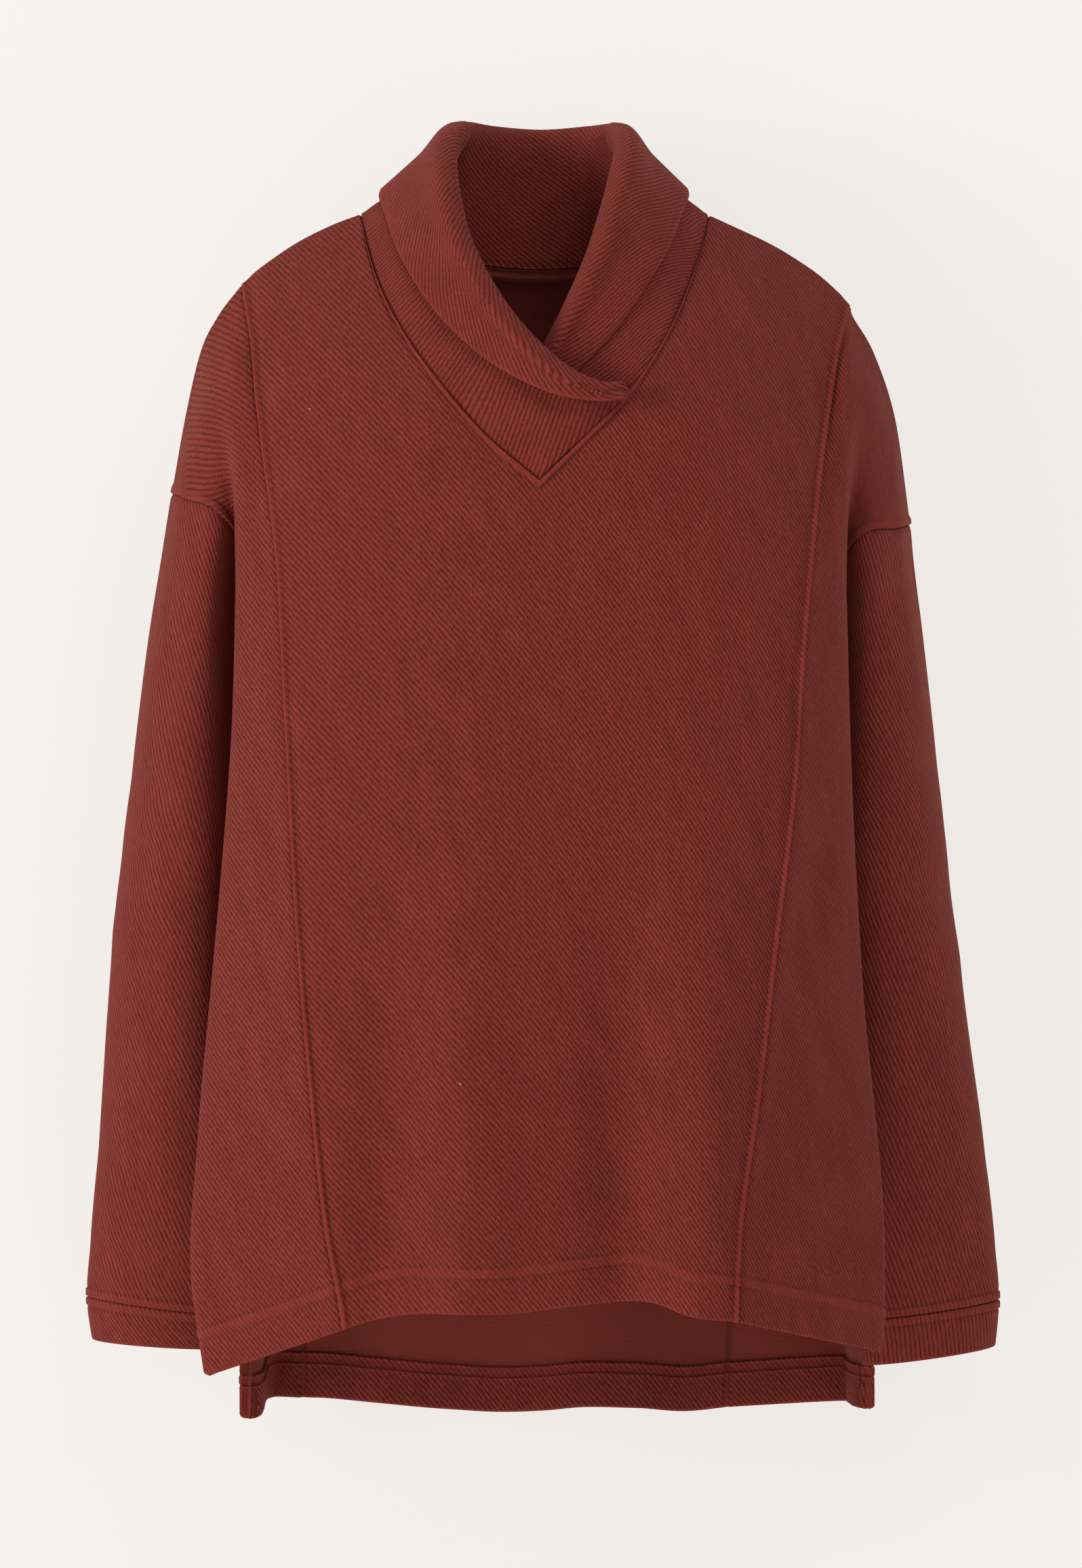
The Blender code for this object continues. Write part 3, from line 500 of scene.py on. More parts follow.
def centre_surface(t, u, front):
    """Outer face of a centre panel: t down, u from its left seam to its right seam."""
    left = seam_line(-1, t, front)
    right = seam_line(1, t, front)
    top_x, top_z = top_line(u, front)
    hem = FRONT_HEM if front else BACK_HEM
    low_x = left[-1, 0] + (right[-1, 0] - left[-1, 0]) * u
    low_z = column(hem, 1, low_x)
    v = u[None, :]
    grids = []
    for axis, top, low in ((0, top_x, low_x), (2, top_z, low_z)):
        a = left[:, axis][:, None]
        b = right[:, axis][:, None]
        share = (left[:, 2] - left[0, 2]) / (left[-1, 2] - left[0, 2])
        w = share[:, None]
        edge = (1 - w) * top[None, :] + w * low[None, :]
        sides = (1 - v) * a + v * b
        corners = (1 - w) * ((1 - v) * top[0] + v * top[-1]) + w * ((1 - v) * low[0] + v * low[-1])
        grids.append(edge + sides - corners)
    x, z = grids
    y = front_y(x, z) if front else back_y(x, z)
    return np.stack([x, y, z], axis=-1)


def sleeve_surface(side, s, ring):
    """Outer face of a sleeve: s from the drop seam at 0 to the cuff seam at 1, on past it for the cuff.

    The ring runs from the outer side over the front to the underarm and back behind: 0 to 1."""
    t = np.where(ring <= 0.5, ring, 1.0 - ring)
    front_half = guide_line(side, t, True, 3)
    back_half = guide_line(side, t, False, 3)
    top = np.where((ring <= 0.5)[:, None], front_half, back_half)
    angle = 2 * math.pi * ring
    across = (1 - np.cos(angle)) / 2
    seam = CUFF_SEAM_LEFT if side < 0 else CUFF_SEAM_RIGHT
    seam_z = seam[0] + (seam[1] - seam[0]) * across
    rows = []
    for value in s:
        z_outer = top[0, 2] + (seam[0] - top[0, 2]) * value
        rows.append(sleeve_ring(side, z_outer, angle))
    rows = np.stack(rows)
    start = sleeve_ring(side, top[0, 2], angle)
    fade = 1 - smooth_step(s / SLEEVE_FADE)
    shape = rows + (top[:, :2] - start)[None] * fade[:, None, None]
    z = top[:, 2][None] + (seam_z - top[:, 2])[None] * s[:, None]
    return np.concatenate([shape, z[..., None]], axis=-1)


def sleeve_ring(side, z_outer, angle):
    """One section of the sleeve or cuff (across, depth)."""
    outer = column(SLEEVE, 1 if side < 0 else 2, z_outer)
    width = column(SLEEVE, 3, z_outer)
    middle = column(SLEEVE, 4, z_outer)
    depth = column(SLEEVE, 5, z_outer)
    x = side * (outer - width / 2 + width / 2 * np.cos(angle))
    y = middle - depth / 2 * np.sin(angle) + SLEEVE_SKEW * width / 2 * np.cos(angle)
    return np.stack([x, y], axis=-1)


def cuff_surface(side, s, ring):
    """Outer face of a cuff: s from its seam at 0 to its end at 1."""
    angle = 2 * math.pi * ring
    across = (1 - np.cos(angle)) / 2
    seam = CUFF_SEAM_LEFT if side < 0 else CUFF_SEAM_RIGHT
    end = CUFF_END_LEFT if side < 0 else CUFF_END_RIGHT
    seam_z = seam[0] + (seam[1] - seam[0]) * across
    end_z = end[0] + (end[1] - end[0]) * across
    rows = []
    for value in s:
        xy = sleeve_ring(side, seam[0] + (end[0] - seam[0]) * value, angle)
        z = seam_z + (end_z - seam_z) * value
        rows.append(np.concatenate([xy, z[:, None]], axis=-1))
    return np.stack(rows)


def collar_surface(rows, columns, across, grids, facing):
    """Middle of the collar's cloth, and the way its outer face looks.

    The rows run along its length, the columns from the seam over the roll to the free edge."""
    knots = np.linspace(0.0, 1.0, len(COLLAR))
    places = np.array([row[0] for row in COLLAR])
    neck = on_neckline(places, across, grids["front", 0][0], grids["back", 0][0])
    roll = np.array([row[2] for row in COLLAR], float)
    edge = np.array([row[3] for row in COLLAR], float)
    out = np.cross(roll - neck, np.gradient(neck, axis=0))
    out = through(knots, out / np.linalg.norm(out, axis=1)[:, None], rows)
    out = out / np.linalg.norm(out, axis=1)[:, None]
    roll = through(knots, roll, rows)
    edge = through(knots, edge, rows)
    places = through(knots, places, rows)
    neck = on_neckline(places, across, grids["front", 0][0], grids["back", 0][0])
    body_out = on_neckline(places, across, facing["front", 0][0], facing["back", 0][0])
    body_out = body_out / np.linalg.norm(body_out, axis=1)[:, None]
    away = np.cross(np.gradient(neck, axis=0), body_out)
    away = away / np.linalg.norm(away, axis=1)[:, None]
    seam = neck + away * COLLAR_GAP - body_out * (COLLAR_CLOTH / 2)
    seam[:, 1] += through(knots, [row[1] for row in COLLAR], rows)
    rise = (roll - neck) / np.linalg.norm(roll - neck, axis=1)[:, None]
    full = smooth_step((places - places[0]) / END_EASE)[:, None]
    full = END_SHARE + (1 - END_SHARE) * full
    stand = (neck + roll) / 2 - out * STAND_BOW * full
    inside = roll - out * ROLL_HALF * full - rise * ROLL_DROP * full
    outside = roll + out * ROLL_HALF * full - rise * ROLL_DROP * full
    fall = (roll + edge) / 2 + out * FALL_BOW * full
    edge = edge + out * EDGE_LIFT * full
    lines = np.stack([seam, stand, inside, roll, outside, fall, edge])
    grid = np.moveaxis(through(COLLAR_KNOTS, lines, columns), 0, 1)
    look = normals(grid, False)
    turn = np.sign((look[:, 1] * out).sum(axis=1)).mean()
    look = look * np.sign(turn)
    look[:, 0] = body_out
    return grid, look


def normals(grid, closed):
    """Unit normals of a grid of points, pointing to the side where rows x columns turn left."""
    if closed:
        wide = np.concatenate([grid[:, -1:], grid, grid[:, :1]], axis=1)
        across = np.gradient(wide, axis=1)[:, 1:-1]
    else:
        across = np.gradient(grid, axis=1)
    down = np.gradient(grid, axis=0)
    cross = np.cross(down, across)
    return cross / np.linalg.norm(cross, axis=2)[..., None]


def on_neckline(place, across, front_values, back_values):
    """Values of the upper edges of the centre panels at places along the neckline."""
    half = NECK_TO - NECK_MIDDLE
    front_u = np.where(place <= 2, NECK_TO - half * place, NECK_TO - half * (place - 3))
    back_u = NECK_FROM + (NECK_TO - NECK_FROM) * (place - 2)
    back = (place > 2) & (place < 3)
    values = []
    for axis in range(3):
        on_front = np.interp(front_u, across, front_values[:, axis])
        on_back = np.interp(back_u, across, back_values[:, axis])
        values.append(np.where(back, on_back, on_front))
    return np.stack(values, axis=-1)


# How finely the cloth is cut: millimetres in from an edge, close together where something is sewn
SEAM_STEPS = (0, 0.35, 0.8, 1.4, 2.2, 3.0, 3.5, 3.9, 4.4, 5.0, 6.0, 7.2, 8.6, 10.5)
NECK_STEPS = (0, 0.4, 0.9, 1.5, 2.2, 3.0, 3.8, 4.6, 5.0, 5.4, 5.8, 6.4, 7.2, 8.2, 9.6, 11.5)
HEM_STEPS = (
    31, 30, 29.4, 28.8, 28.3, 27.8, 27.3, 26.8, 26, 25, 24, 23, 22.4, 21.9, 21.4, 20.9, 20.4, 19.6, 18, 15.5,
    13, 10.5, 8, 6, 4.5, 3.2, 2.2, 1.5, 0.9, 0.4, 0,
)
VENT_STEPS = (10.5, 8.8, 7.9, 7.2, 6.6, 6.0, 5.4, 4.8, 4.0, 3.0, 2.0, 1.2, 0.6, 0.25, 0)
CUFF_STEPS = (
    0, 0.4, 0.9, 1.6, 2.6, 3.6, 4.6, 5.4, 5.9, 6.4, 7.0, 8.5, 11, 14, 17, 20, 22.5, 24.5, 26, 27, 27.6, 28,
)
CENTRE_WIDTH = 330.0
SIDE_WIDTH = 95.0
SLEEVE_LENGTH = 450.0
FAN_RATE = 0.0032        # rows per millimetre at the shoulder
FAN_COUNT = 50
BODY_COUNT = 78
VENT_COUNT = 30
CENTRE_COUNT = 84
SIDE_COUNT = 24
SLEEVE_COUNT = 92
COLLAR_LENGTH_COUNT = 190
COLLAR_WIDTH_COUNT = 66

# Places of the first rows: the underarm, and the top of the vents
FAN_ROWS = len(NECK_STEPS) + FAN_COUNT - 1
SEAM_ROWS = FAN_ROWS + BODY_COUNT

# Raised bands along an edge: from, to (millimetres in from the edge), height
SEAM_RIDGE = (0.2, 3.6, 1.2)
NECK_RIDGE = (0.2, 5.0, 1.1)
VENT_RIDGE = (0.4, 5.8, 0.9)
SHOULDER_LIP = (0.0, 5.0, 1.0)     # the side panels lie over the sleeves
CUFF_RIDGE = (0.2, 5.4, 0.7)

# Sunk lines along an edge: millimetres in from it, half width, depth. The first four are sewn.
SEAM_LINE = (4.1, 0.6, 0.8)
NECK_LINE = (5.5, 0.6, 0.9)
VENT_LINE = (7.0, 0.7, 0.8)
CUFF_LINE = (5.9, 0.7, 0.5)
BESIDE_SEAM = (6.6, 2.4, 0.9)
BESIDE_NECK = (8.0, 2.2, 0.7)
PANEL_DIP = (0.0, 2.4, 0.9)        # the side panels sink towards the panel seams
PANEL_DIP_FADE = 10.0
SIDE_SEAM_DIP = (0.0, 2.2, 0.6)
SLEEVE_DIP = (0.0, 2.4, 0.8)
UNDERARM_DIP = (0.0, 1.6, 0.6)
COLLAR_EDGE_DIP = (4.5, 2.4, 0.35)
COLLAR_SEAM_DIP = (5.6, 1.6, 0.3)

HEM_STITCHES = (21.2, 27.7)        # both rows, up from the hem
HEM_LINE = (0.8, 0.7)              # half width and depth of each
HEM_RIDGE = 0.5                    # the cloth stands up between them
HEM_RISE = 0.35                    # the turn-up shows as a soft step
HEM_SLOPE = 2.0
TURN_SLOPE = 1.2                   # the wall thickens over this height
VENT_WIDTH = 9.0                   # turned edge of a vent
VENT_TURNED = 1.4
PAINTED_EDGE_HIGHLIGHT = (0.0, 1.4, 0.9)        # edges and the underarm seams are painted lighter, a painted highlight where the nap catches the light, and their ribs flatten
PAINTED_SEAM_HIGHLIGHT = (0.0, 1.0, 0.5)
PAINTED_COLLAR_HIGHLIGHT = (0.0, 1.6, 0.9)
OVERLOCK = HEM_DEPTH - 0.6         # sewn edge of the turn-up inside
RIM = 0.22                         # an edge is at least this share of the cloth thick
CREASE_SIDE_FADE = 14.0            # creases die away this far from a seam, and this far from an end
CREASE_END_FADE = 20.0
SLEEVE_CREASE_FADE = 22.0
NECK_FADE = 0.03                   # the neck's band fades in over this share of the width
FLAT_AT_TOP = 0.25                 # seams lie flatter where they meet the shoulder seam
TOP_FADE = 16.0
CORNER_HEIGHT = 12.0
OVER_END = (20.0, 90.0)            # the end that crosses over thins from its tip: start, length
OVER_THIN = 1.6
OVER_EDGE = 16.0
TAPE_STEPS = (0.0, 0.3, 0.8, 1.6, 3.0, 4.8, 6.6, 7.9, 8.7, 9.2, 9.5)
TAPE_INSET = 0.012                 # the tape stops this share of the width before the neckline's ends
TAPE_BOW = 0.35
TAPE_STITCH = 1.4
THREAD_SIDES = 5
STITCH_SHAPE = ((-0.5, 0.2), (-0.36, 1.0), (0.36, 1.0), (0.5, 0.2))    # along the stitch, thickness
STITCH_SHARE = 0.86                # share of the pitch that a stitch covers
STITCH_SINK = 0.6                  # share of its radius that it sinks into the cloth

# Slant of the twill's ribs on the front: distance across, degrees below level
RIB_SLANT = ((-220, 46), (-155, 46), (-78, 48), (-20, 50), (37, 54), (94, 58), (152, 61), (220, 62))
BACK_SLANT = 47.0
SLEEVE_SLANT = 66.0
# The collar's ribs, turned from its roll line: millimetres from the end that crosses over, degrees
STAND_SLANT = ((0, 68), (200, 60), (380, 44), (520, 40))
FALL_SLANT = ((0, -22), (90, -24), (170, -36), (520, -37))
V_SLANT = 70.0           # the collar lies flat over the point of the neckline, with straight ribs
V_FROM = 62.0
V_OVER = 34.0
INSIDE_SLANT = 50.0      # the turn-ups show the face of the cloth from behind
RIB_RISE = 4.0           # height from rib to rib on the body
SEAM_SLIT = 0.04         # sewn edges meet
LOOP_LENGTH = 1.3        # how much the loops are drawn out along the ribs
STRIP_LEAN = 0.12        # lean of the ribs on the turned edges of the vents
CORNER = 4.0             # the corners of the vents are round

# Soft creases: from (across, height) to (across, height), half width, how far out
# A sleeve's row ends with 1 where the crease is in front and -1 where it is behind.
FRONT_CREASES = (
    (-160, -250, -118, -300, 11, -1.6),
    (-158, -268, -128, -345, 14, 1.4),
    (152, -262, 112, -318, 12, -1.5),
    (150, -285, 120, -360, 15, 1.3),
    (-96, -420, -84, -670, 24, -3.4),
    (-52, -430, -46, -660, 22, 2.6),
    (40, -400, 52, -670, 22, -3.6),
    (84, -330, 92, -660, 24, 3.4),
    (128, -470, 122, -650, 14, -2.2),
    (-30, -520, -22, -640, 14, 1.2),
    (-172, -330, -150, -420, 10, -1.2),
    (172, -350, 152, -440, 10, -1.2),
    (-196, -84, -176, -118, 7, -1.3),
    (192, -88, 174, -124, 8, -1.0),
)
BACK_CREASES = (
    (-150, -215, -90, -262, 13, -1.7),
    (150, -225, 84, -280, 14, -1.6),
    (-70, -300, 60, -322, 20, -1.5),
    (-40, -352, 84, -346, 16, 1.2),
    (-112, -420, -84, -610, 18, -1.8),
    (104, -450, 92, -640, 17, -1.6),
    (6, -480, 14, -690, 22, 1.5),
    (-160, -330, -146, -470, 12, 1.3),
)
SLEEVE_CREASES = (
    (-262, -330, -205, -352, 10, -2.0, 1),
    (-264, -392, -210, -372, 12, -2.2, 1),
    (-268, -436, -214, -402, 11, 1.6, 1),
    (-272, -560, -226, -592, 10, -1.4, 1),
    (-276, -622, -222, -634, 8, -1.5, 1),
    (-225, -208, -192, -262, 11, -1.6, 1),
    (-262, -360, -200, -345, 11, -2.0, -1),
    (-268, -424, -208, -404, 13, -2.2, -1),
    (-276, -608, -226, -618, 9, -1.5, -1),
    (206, -338, 256, -322, 10, -2.0, 1),
    (212, -388, 262, -410, 13, -2.2, 1),
    (214, -420, 264, -452, 11, 1.5, 1),
    (224, -586, 276, -566, 10, -1.5, 1),
    (222, -632, 280, -626, 8, -1.5, 1),
    (192, -255, 226, -205, 12, -1.6, 1),
    (204, -352, 256, -368, 12, -2.0, -1),
    (212, -414, 266, -432, 13, -2.0, -1),
    (224, -612, 278, -600, 9, -1.4, -1),
)

# Stage, in metres
FLOOR_HALF = 4.0
BACKDROP_HALF = 3.0
BACKDROP_TOP = 2.5
SENSOR = 36.0            # millimetres
FILL_SHARE = 0.55        # power of the fill light as a share of the key light's
FLOOR_Z = -0.9
BACKDROP_Y = 0.128
PAPER_GLOW = 0.86        # the paper is lit evenly from behind
PAPER_SHADE = 0.16       # share of its brightness that a shadow can take away
CAMERA_DISTANCE = 3.0
CAMERA_Z = -0.3387
PHOTO_WIDTH = 0.65436    # width of the photograph's frame at the origin's depth


def linear(text):
    """An sRGB hex colour as the linear values that Blender works in."""
    values = [int(text[i:i + 2], 16) / 255 for i in (1, 3, 5)]
    return tuple(v / 12.92 if v <= 0.04045 else ((v + 0.055) / 1.055) ** 2.4 for v in values)


class TunicCloth(bpy.types.PropertyGroup):
    rib_light: bpy.props.FloatVectorProperty(
        name="Rib", description="Colour of the top of each rib of the twill face", subtype="COLOR",
        size=3, min=0, max=1, default=linear("#84322A"))
    # The colour between the ribs is painted shade: a darker copy of the rib colour, standing for the shadow
    # that falls in the grooves.
    groove_painted_shade: bpy.props.FloatVectorProperty(
        name="Groove", description="Colour between the ribs", subtype="COLOR",
        size=3, min=0, max=1, default=linear("#58201A"))
    inside: bpy.props.FloatVectorProperty(
        name="Inside", description="Colour of the smooth inner face", subtype="COLOR",
        size=3, min=0, max=1, default=linear("#80342A"))
    lint: bpy.props.FloatVectorProperty(
        name="Lint", description="Colour of the few pale specks of lint", subtype="COLOR",
        size=3, min=0, max=1, default=linear("#D9B8AC"))
    rib_pitch: bpy.props.FloatProperty(
        name="Rib pitch", description="Distance from rib to rib", unit="LENGTH",
        default=0.0027, min=0.001, max=0.01)
    rib_depth: bpy.props.FloatProperty(
        name="Rib depth", description="Height of the ribs of the twill face", unit="LENGTH",
        default=0.0008, min=0.0001, max=0.002)
    row_pitch: bpy.props.FloatProperty(
        name="Inner row pitch", description="Height of a knitted row on the inner face", unit="LENGTH",
        default=0.0012, min=0.0005, max=0.005)


class TunicSewing(bpy.types.PropertyGroup):
    stitch_pitch: bpy.props.FloatProperty(
        name="Stitch pitch", description="Distance from stitch to stitch", unit="LENGTH",
        default=0.0031, min=0.001, max=0.01)
    thread: bpy.props.FloatProperty(
        name="Thread", description="Thickness of the sewing thread", unit="LENGTH",
        default=0.0003, min=0.0002, max=0.002)
    thread_colour: bpy.props.FloatVectorProperty(
        name="Thread colour", description="Colour of the sewing thread", subtype="COLOR",
        size=3, min=0, max=1, default=linear("#74291F"))


class TunicStage(bpy.types.PropertyGroup):
    ground: bpy.props.FloatVectorProperty(
        name="Ground", description="Colour of the floor and the backdrop", subtype="COLOR",
        size=3, min=0, max=1, default=linear("#F4F0EC"))
    key_power: bpy.props.FloatProperty(
        name="Key light", description="Power of the soft light from the left", unit="POWER",
        default=45.0, min=0, max=1000)
    sky: bpy.props.FloatProperty(
        name="Room light", description="Strength of the even light from all round",
        default=0.3, min=0, max=5)


def rows_of(front):
    """Rows of the body as places between shoulder and hem, close together at the neckline and the hem."""
    hem = FRONT_HEM if front else BACK_HEM
    below = VENT_TOP_Z - hem[len(hem) // 2][1]
    start = np.array(NECK_STEPS) * FAN_RATE
    fan = np.linspace(start[-1], 0.5, FAN_COUNT + 1)[1:]
    down = np.linspace(0.5, VENT_ROW, BODY_COUNT + 1)[1:]
    steps = 1 - (1 - VENT_ROW) * np.array(HEM_STEPS) / below
    beside = np.linspace(VENT_ROW, steps[0], VENT_COUNT + 1)[1:-1]
    return np.concatenate([start, fan, down, beside, steps])


def columns_of_centre():
    edge = np.array(SEAM_STEPS) / CENTRE_WIDTH
    middle = np.linspace(edge[-1], 1 - edge[-1], CENTRE_COUNT + 1)[1:-1]
    return np.concatenate([edge, middle, 1 - edge[::-1]])


def columns_of_side():
    edge = np.array(SEAM_STEPS) / SIDE_WIDTH
    outer = 1 - np.array(VENT_STEPS) / SIDE_WIDTH
    middle = np.linspace(edge[-1], outer[0], SIDE_COUNT + 1)[1:-1]
    return np.concatenate([edge, middle, outer])


def arc(grid, axis):
    """Length along a grid, down its rows (0) or across its columns (1), up to each point."""
    steps = np.linalg.norm(np.diff(grid, axis=axis), axis=2)
    first = np.zeros_like(steps[:1] if axis == 0 else steps[:, :1])
    return np.cumsum(np.concatenate([first, steps], axis=axis), axis=axis)


def groove(d, at, half, depth):
    return -depth * np.exp(-((d - at) / half) ** 2)


def band(d, start, end, height):
    return height * smooth_step((d - start) / 0.7) * smooth_step((end - d) / 0.7)


def creases(grid, look, table, side):
    """How far the creases of a table lift or sink the cloth: 1 on what faces the front, -1 the back."""
    lift = 0.0
    mask = smooth_step(0.3 - side * look[..., 1] * 1.6)
    for x1, z1, x2, z2, half, depth in table:
        along = (grid[..., 0] - x1) * (x2 - x1) + (grid[..., 2] - z1) * (z2 - z1)
        along = along / ((x2 - x1) ** 2 + (z2 - z1) ** 2)
        on = np.clip(along, 0.0, 1.0)
        far = (grid[..., 0] - x1 - (x2 - x1) * on) ** 2 + (grid[..., 2] - z1 - (z2 - z1) * on) ** 2
        lift = lift + depth * np.exp(-far / half**2) * (0.35 + 0.65 * np.sin(np.pi * on))
    return lift * mask


def share(facing, spots):
    """Give the points that meet on a seam one normal, so that their edges run side by side."""
    total = sum(facing[name][spot] for name, spot in spots)
    total = total / np.linalg.norm(total, axis=-1)[..., None]
    for name, spot in spots:
        facing[name][spot] = total


def share_seams(facing, count):
    """Give the panels and sleeves one normal along each seam between them."""
    rows = slice(0, SEAM_ROWS + 1)
    for side, edge in ((-1, 0), (1, -1)):
        for word in ("front", "back"):
            share(facing, (((word, 0), (slice(None), edge)), ((word, side), (slice(None), 0))))
        share(facing, ((("front", side), (0,)), (("back", side), (0,))))
        share(facing, ((("front", side), (rows, -1)), (("back", side), (rows, -1))))
    for part in (slice(0, count), slice(-count, None)):
        share(facing, ((("front", 0), (0, part)), (("back", 0), (0, part))))
    for side, edge in ((-1, 0), (1, -1)):
        spots = []
        for word in ("front", "back"):
            spots.append(((word, side), (0, 0)))
            spots.append(((word, 0), (0, edge)))
        share(facing, spots)
        for k in range(1, FAN_ROWS):
            share(facing, ((("front", side), (k, -1)), (("sleeve", side), (0, k))))
            share(facing, ((("back", side), (k, -1)), (("sleeve", side), (0, 2 * FAN_ROWS - k))))
        for k in (0, FAN_ROWS):
            ends = ((("front", side), (k, -1)), (("back", side), (k, -1)), (("sleeve", side), (0, k)))
            share(facing, ends)
        share(facing, ((("sleeve", side), (-1,)), (("cuff", side), (0,))))


made_forms = {}


def forms():
    """The form of every piece as a grid of points and their normals, worked out once."""
    if made_forms:
        return made_forms
    across = columns_of_centre()
    out = columns_of_side()
    grids = {}
    facing = {}
    for word, turn in (("front", 1.0), ("back", -1.0)):
        front = word == "front"
        t = rows_of(front)
        grids[word, 0] = centre_surface(t, across, front)
        facing[word, 0] = normals(grids[word, 0], False) * turn
        for side in (-1, 1):
            grids[word, side] = side_surface(side, t, out, front)
            facing[word, side] = normals(grids[word, side], False) * turn * side
    fan = rows_of(True)[:FAN_ROWS + 1]
    ring = np.concatenate([fan, 1 - fan[-2:0:-1]])
    start = np.array(SEAM_STEPS) / SLEEVE_LENGTH
    end = 1 - np.array(SEAM_STEPS[::-1]) / SLEEVE_LENGTH
    down = np.concatenate([start, np.linspace(start[-1], end[0], SLEEVE_COUNT + 1)[1:-1], end])
    for side in (-1, 1):
        grids["sleeve", side] = sleeve_surface(side, down, ring)
        grids["cuff", side] = cuff_surface(side, np.array(CUFF_STEPS) / CUFF_STEPS[-1], ring)
        for word in ("sleeve", "cuff"):
            facing[word, side] = normals(grids[word, side], True) * -side
    share_seams(facing, int((across <= NECK_FROM).sum()))
    grids["collar", 0], facing["collar", 0] = collar_surface(
        np.linspace(0.0, 1.0, COLLAR_LENGTH_COUNT + 1), np.linspace(0.0, 1.0, COLLAR_WIDTH_COUNT + 1),
        across, grids, facing)
    made_forms["grids"] = grids
    made_forms["facing"] = facing
    made_forms["across"] = across
    return made_forms


def half_wall(wall, far):
    """How far a face of the cloth lies from its middle, thinning to a round rim where far is short."""
    half = wall / 2
    near = np.clip(far / half, 0.0, 1.0)
    return (half * np.maximum(np.sqrt(1 - (1 - near) ** 2), RIM))[..., None]


def quads(rows, columns, closed):
    """Corners of the faces of a grid, once as its points and once as places on the flat cloth."""
    spans = columns if closed else columns - 1
    i, j = np.meshgrid(np.arange(rows - 1), np.arange(spans), indexing="ij")
    i = i.ravel()
    j = j.ravel()
    k = (j + 1) % columns
    wide = columns + 1 if closed else columns
    a = i * columns
    b = (i + 1) * columns
    points = np.stack([a + j, b + j, b + k, a + k], axis=1)
    a = i * wide + j
    b = (i + 1) * wide + j
    places = np.stack([a, b, b + 1, a + 1], axis=1)
    return points, places


def rim(rows, columns, closed):
    """Faces that close the rim between the outer and the inner face."""
    wide = columns + 1 if closed else columns
    count = rows * columns
    points = []
    places = []
    spans = np.arange(columns if closed else columns - 1)
    for i in (0, rows - 1):
        a = i * columns + spans
        b = i * columns + (spans + 1) % columns
        c = i * wide + spans
        points.append(np.stack([a, b, b + count, a + count], axis=1))
        places.append(np.stack([c, c + 1, c + 1, c], axis=1))
    if not closed:
        down = np.arange(rows - 1)
        for j in (0, columns - 1):
            a = down * columns + j
            b = (down + 1) * columns + j
            points.append(np.stack([a, b, b + count, a + count], axis=1))
            places.append(np.stack([a, b, b, a], axis=1))
    return np.concatenate(points), np.concatenate(places)


def cloth(name, node, outer, inner, closed, ribs, rows_down, materials, pressed_and_highlit, turned=None):
    """A piece of cloth as one closed shell.

    ribs lays the ribs of its two faces out flat, and rows_down its knitted rows. The pressed value says how
    flat the sewing presses each point and how far a painted highlight lightens it, and turned which points
    show the face of the cloth inside."""
    rows, columns = outer.shape[:2]
    points, places = quads(rows, columns, closed)
    rim_points, rim_places = rim(rows, columns, closed)
    count = rows * columns
    corners = np.concatenate([points, points[:, ::-1] + count, rim_points])
    spots = np.concatenate([places, places[:, ::-1], rim_places])
    vertices = np.concatenate([outer.reshape(-1, 3), inner.reshape(-1, 3)]) * MM
    mesh = bpy.data.meshes.new(name)
    mesh.from_pydata(vertices.tolist(), [], corners.tolist())
    slots = np.zeros(len(corners), dtype=np.int32)
    inside = np.full(len(points), 1 if len(materials) > 1 else 0, dtype=np.int32)
    if turned is not None:
        inside[turned[:-1, :-1].ravel()] = 0
    slots[len(points):2 * len(points)] = inside
    mesh.polygons.foreach_set("material_index", slots)
    mesh.polygons.foreach_set("use_smooth", np.ones(len(corners), dtype=bool))
    hidden = slice(4 * len(points), 8 * len(points))
    for title, (flat, flat_inside) in (("ribs", ribs), ("rows", (rows_down, rows_down))):
        layer = mesh.uv_layers.new(name=title)
        laid = flat.reshape(-1, 2)[spots.ravel()]
        laid[hidden] = flat_inside.reshape(-1, 2)[spots.ravel()[hidden]]
        layer.data.foreach_set("uv", (laid * MM).ravel().astype(np.float32))
    flattened = mesh.attributes.new("pressed_and_highlit", "FLOAT", "POINT")
    flattened.data.foreach_set("value", np.tile(np.asarray(pressed_and_highlit, np.float32).ravel(), 2))
    for made in materials:
        mesh.materials.append(made)
    mesh.update()
    piece = bpy.data.objects.new(name, mesh)
    bpy.context.scene.collection.objects.link(piece)
    turn_out(piece)
    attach(piece, "root")
    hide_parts(node)
    return piece


def turn_out(piece):
    """Turn the faces outwards if they enclose less than nothing."""
    mesh = piece.data
    mesh.calc_loop_triangles()
    corners = np.empty(len(mesh.loop_triangles) * 3, dtype=np.int32)
    mesh.loop_triangles.foreach_get("vertices", corners)
    points = np.empty(len(mesh.vertices) * 3)
    mesh.vertices.foreach_get("co", points)
    a, b, c = np.moveaxis(points.reshape(-1, 3)[corners.reshape(-1, 3)], 1, 0)
    if (np.cross(a, b) * c).sum() < 0:
        mesh.flip_normals()


def line_at(points, lengths, at, axis, keep=slice(None)):
    """The line on a grid that runs at a given length from where lengths start."""
    values = points if axis == 1 else np.swapaxes(points, 0, 1)
    along = lengths if axis == 1 else lengths.T
    line = []
    for row, far in zip(values[keep], along[keep]):
        order = np.argsort(far)
        line.append([np.interp(at, far[order], row[order, k]) for k in range(3)])
    return np.array(line)


def sewn(points, look, lengths, at, axis, keep=slice(None)):
    """A line to sew along: its points, and the way out of the cloth at each."""
    return line_at(points, lengths, at, axis, keep), line_at(look, lengths, at, axis, keep)


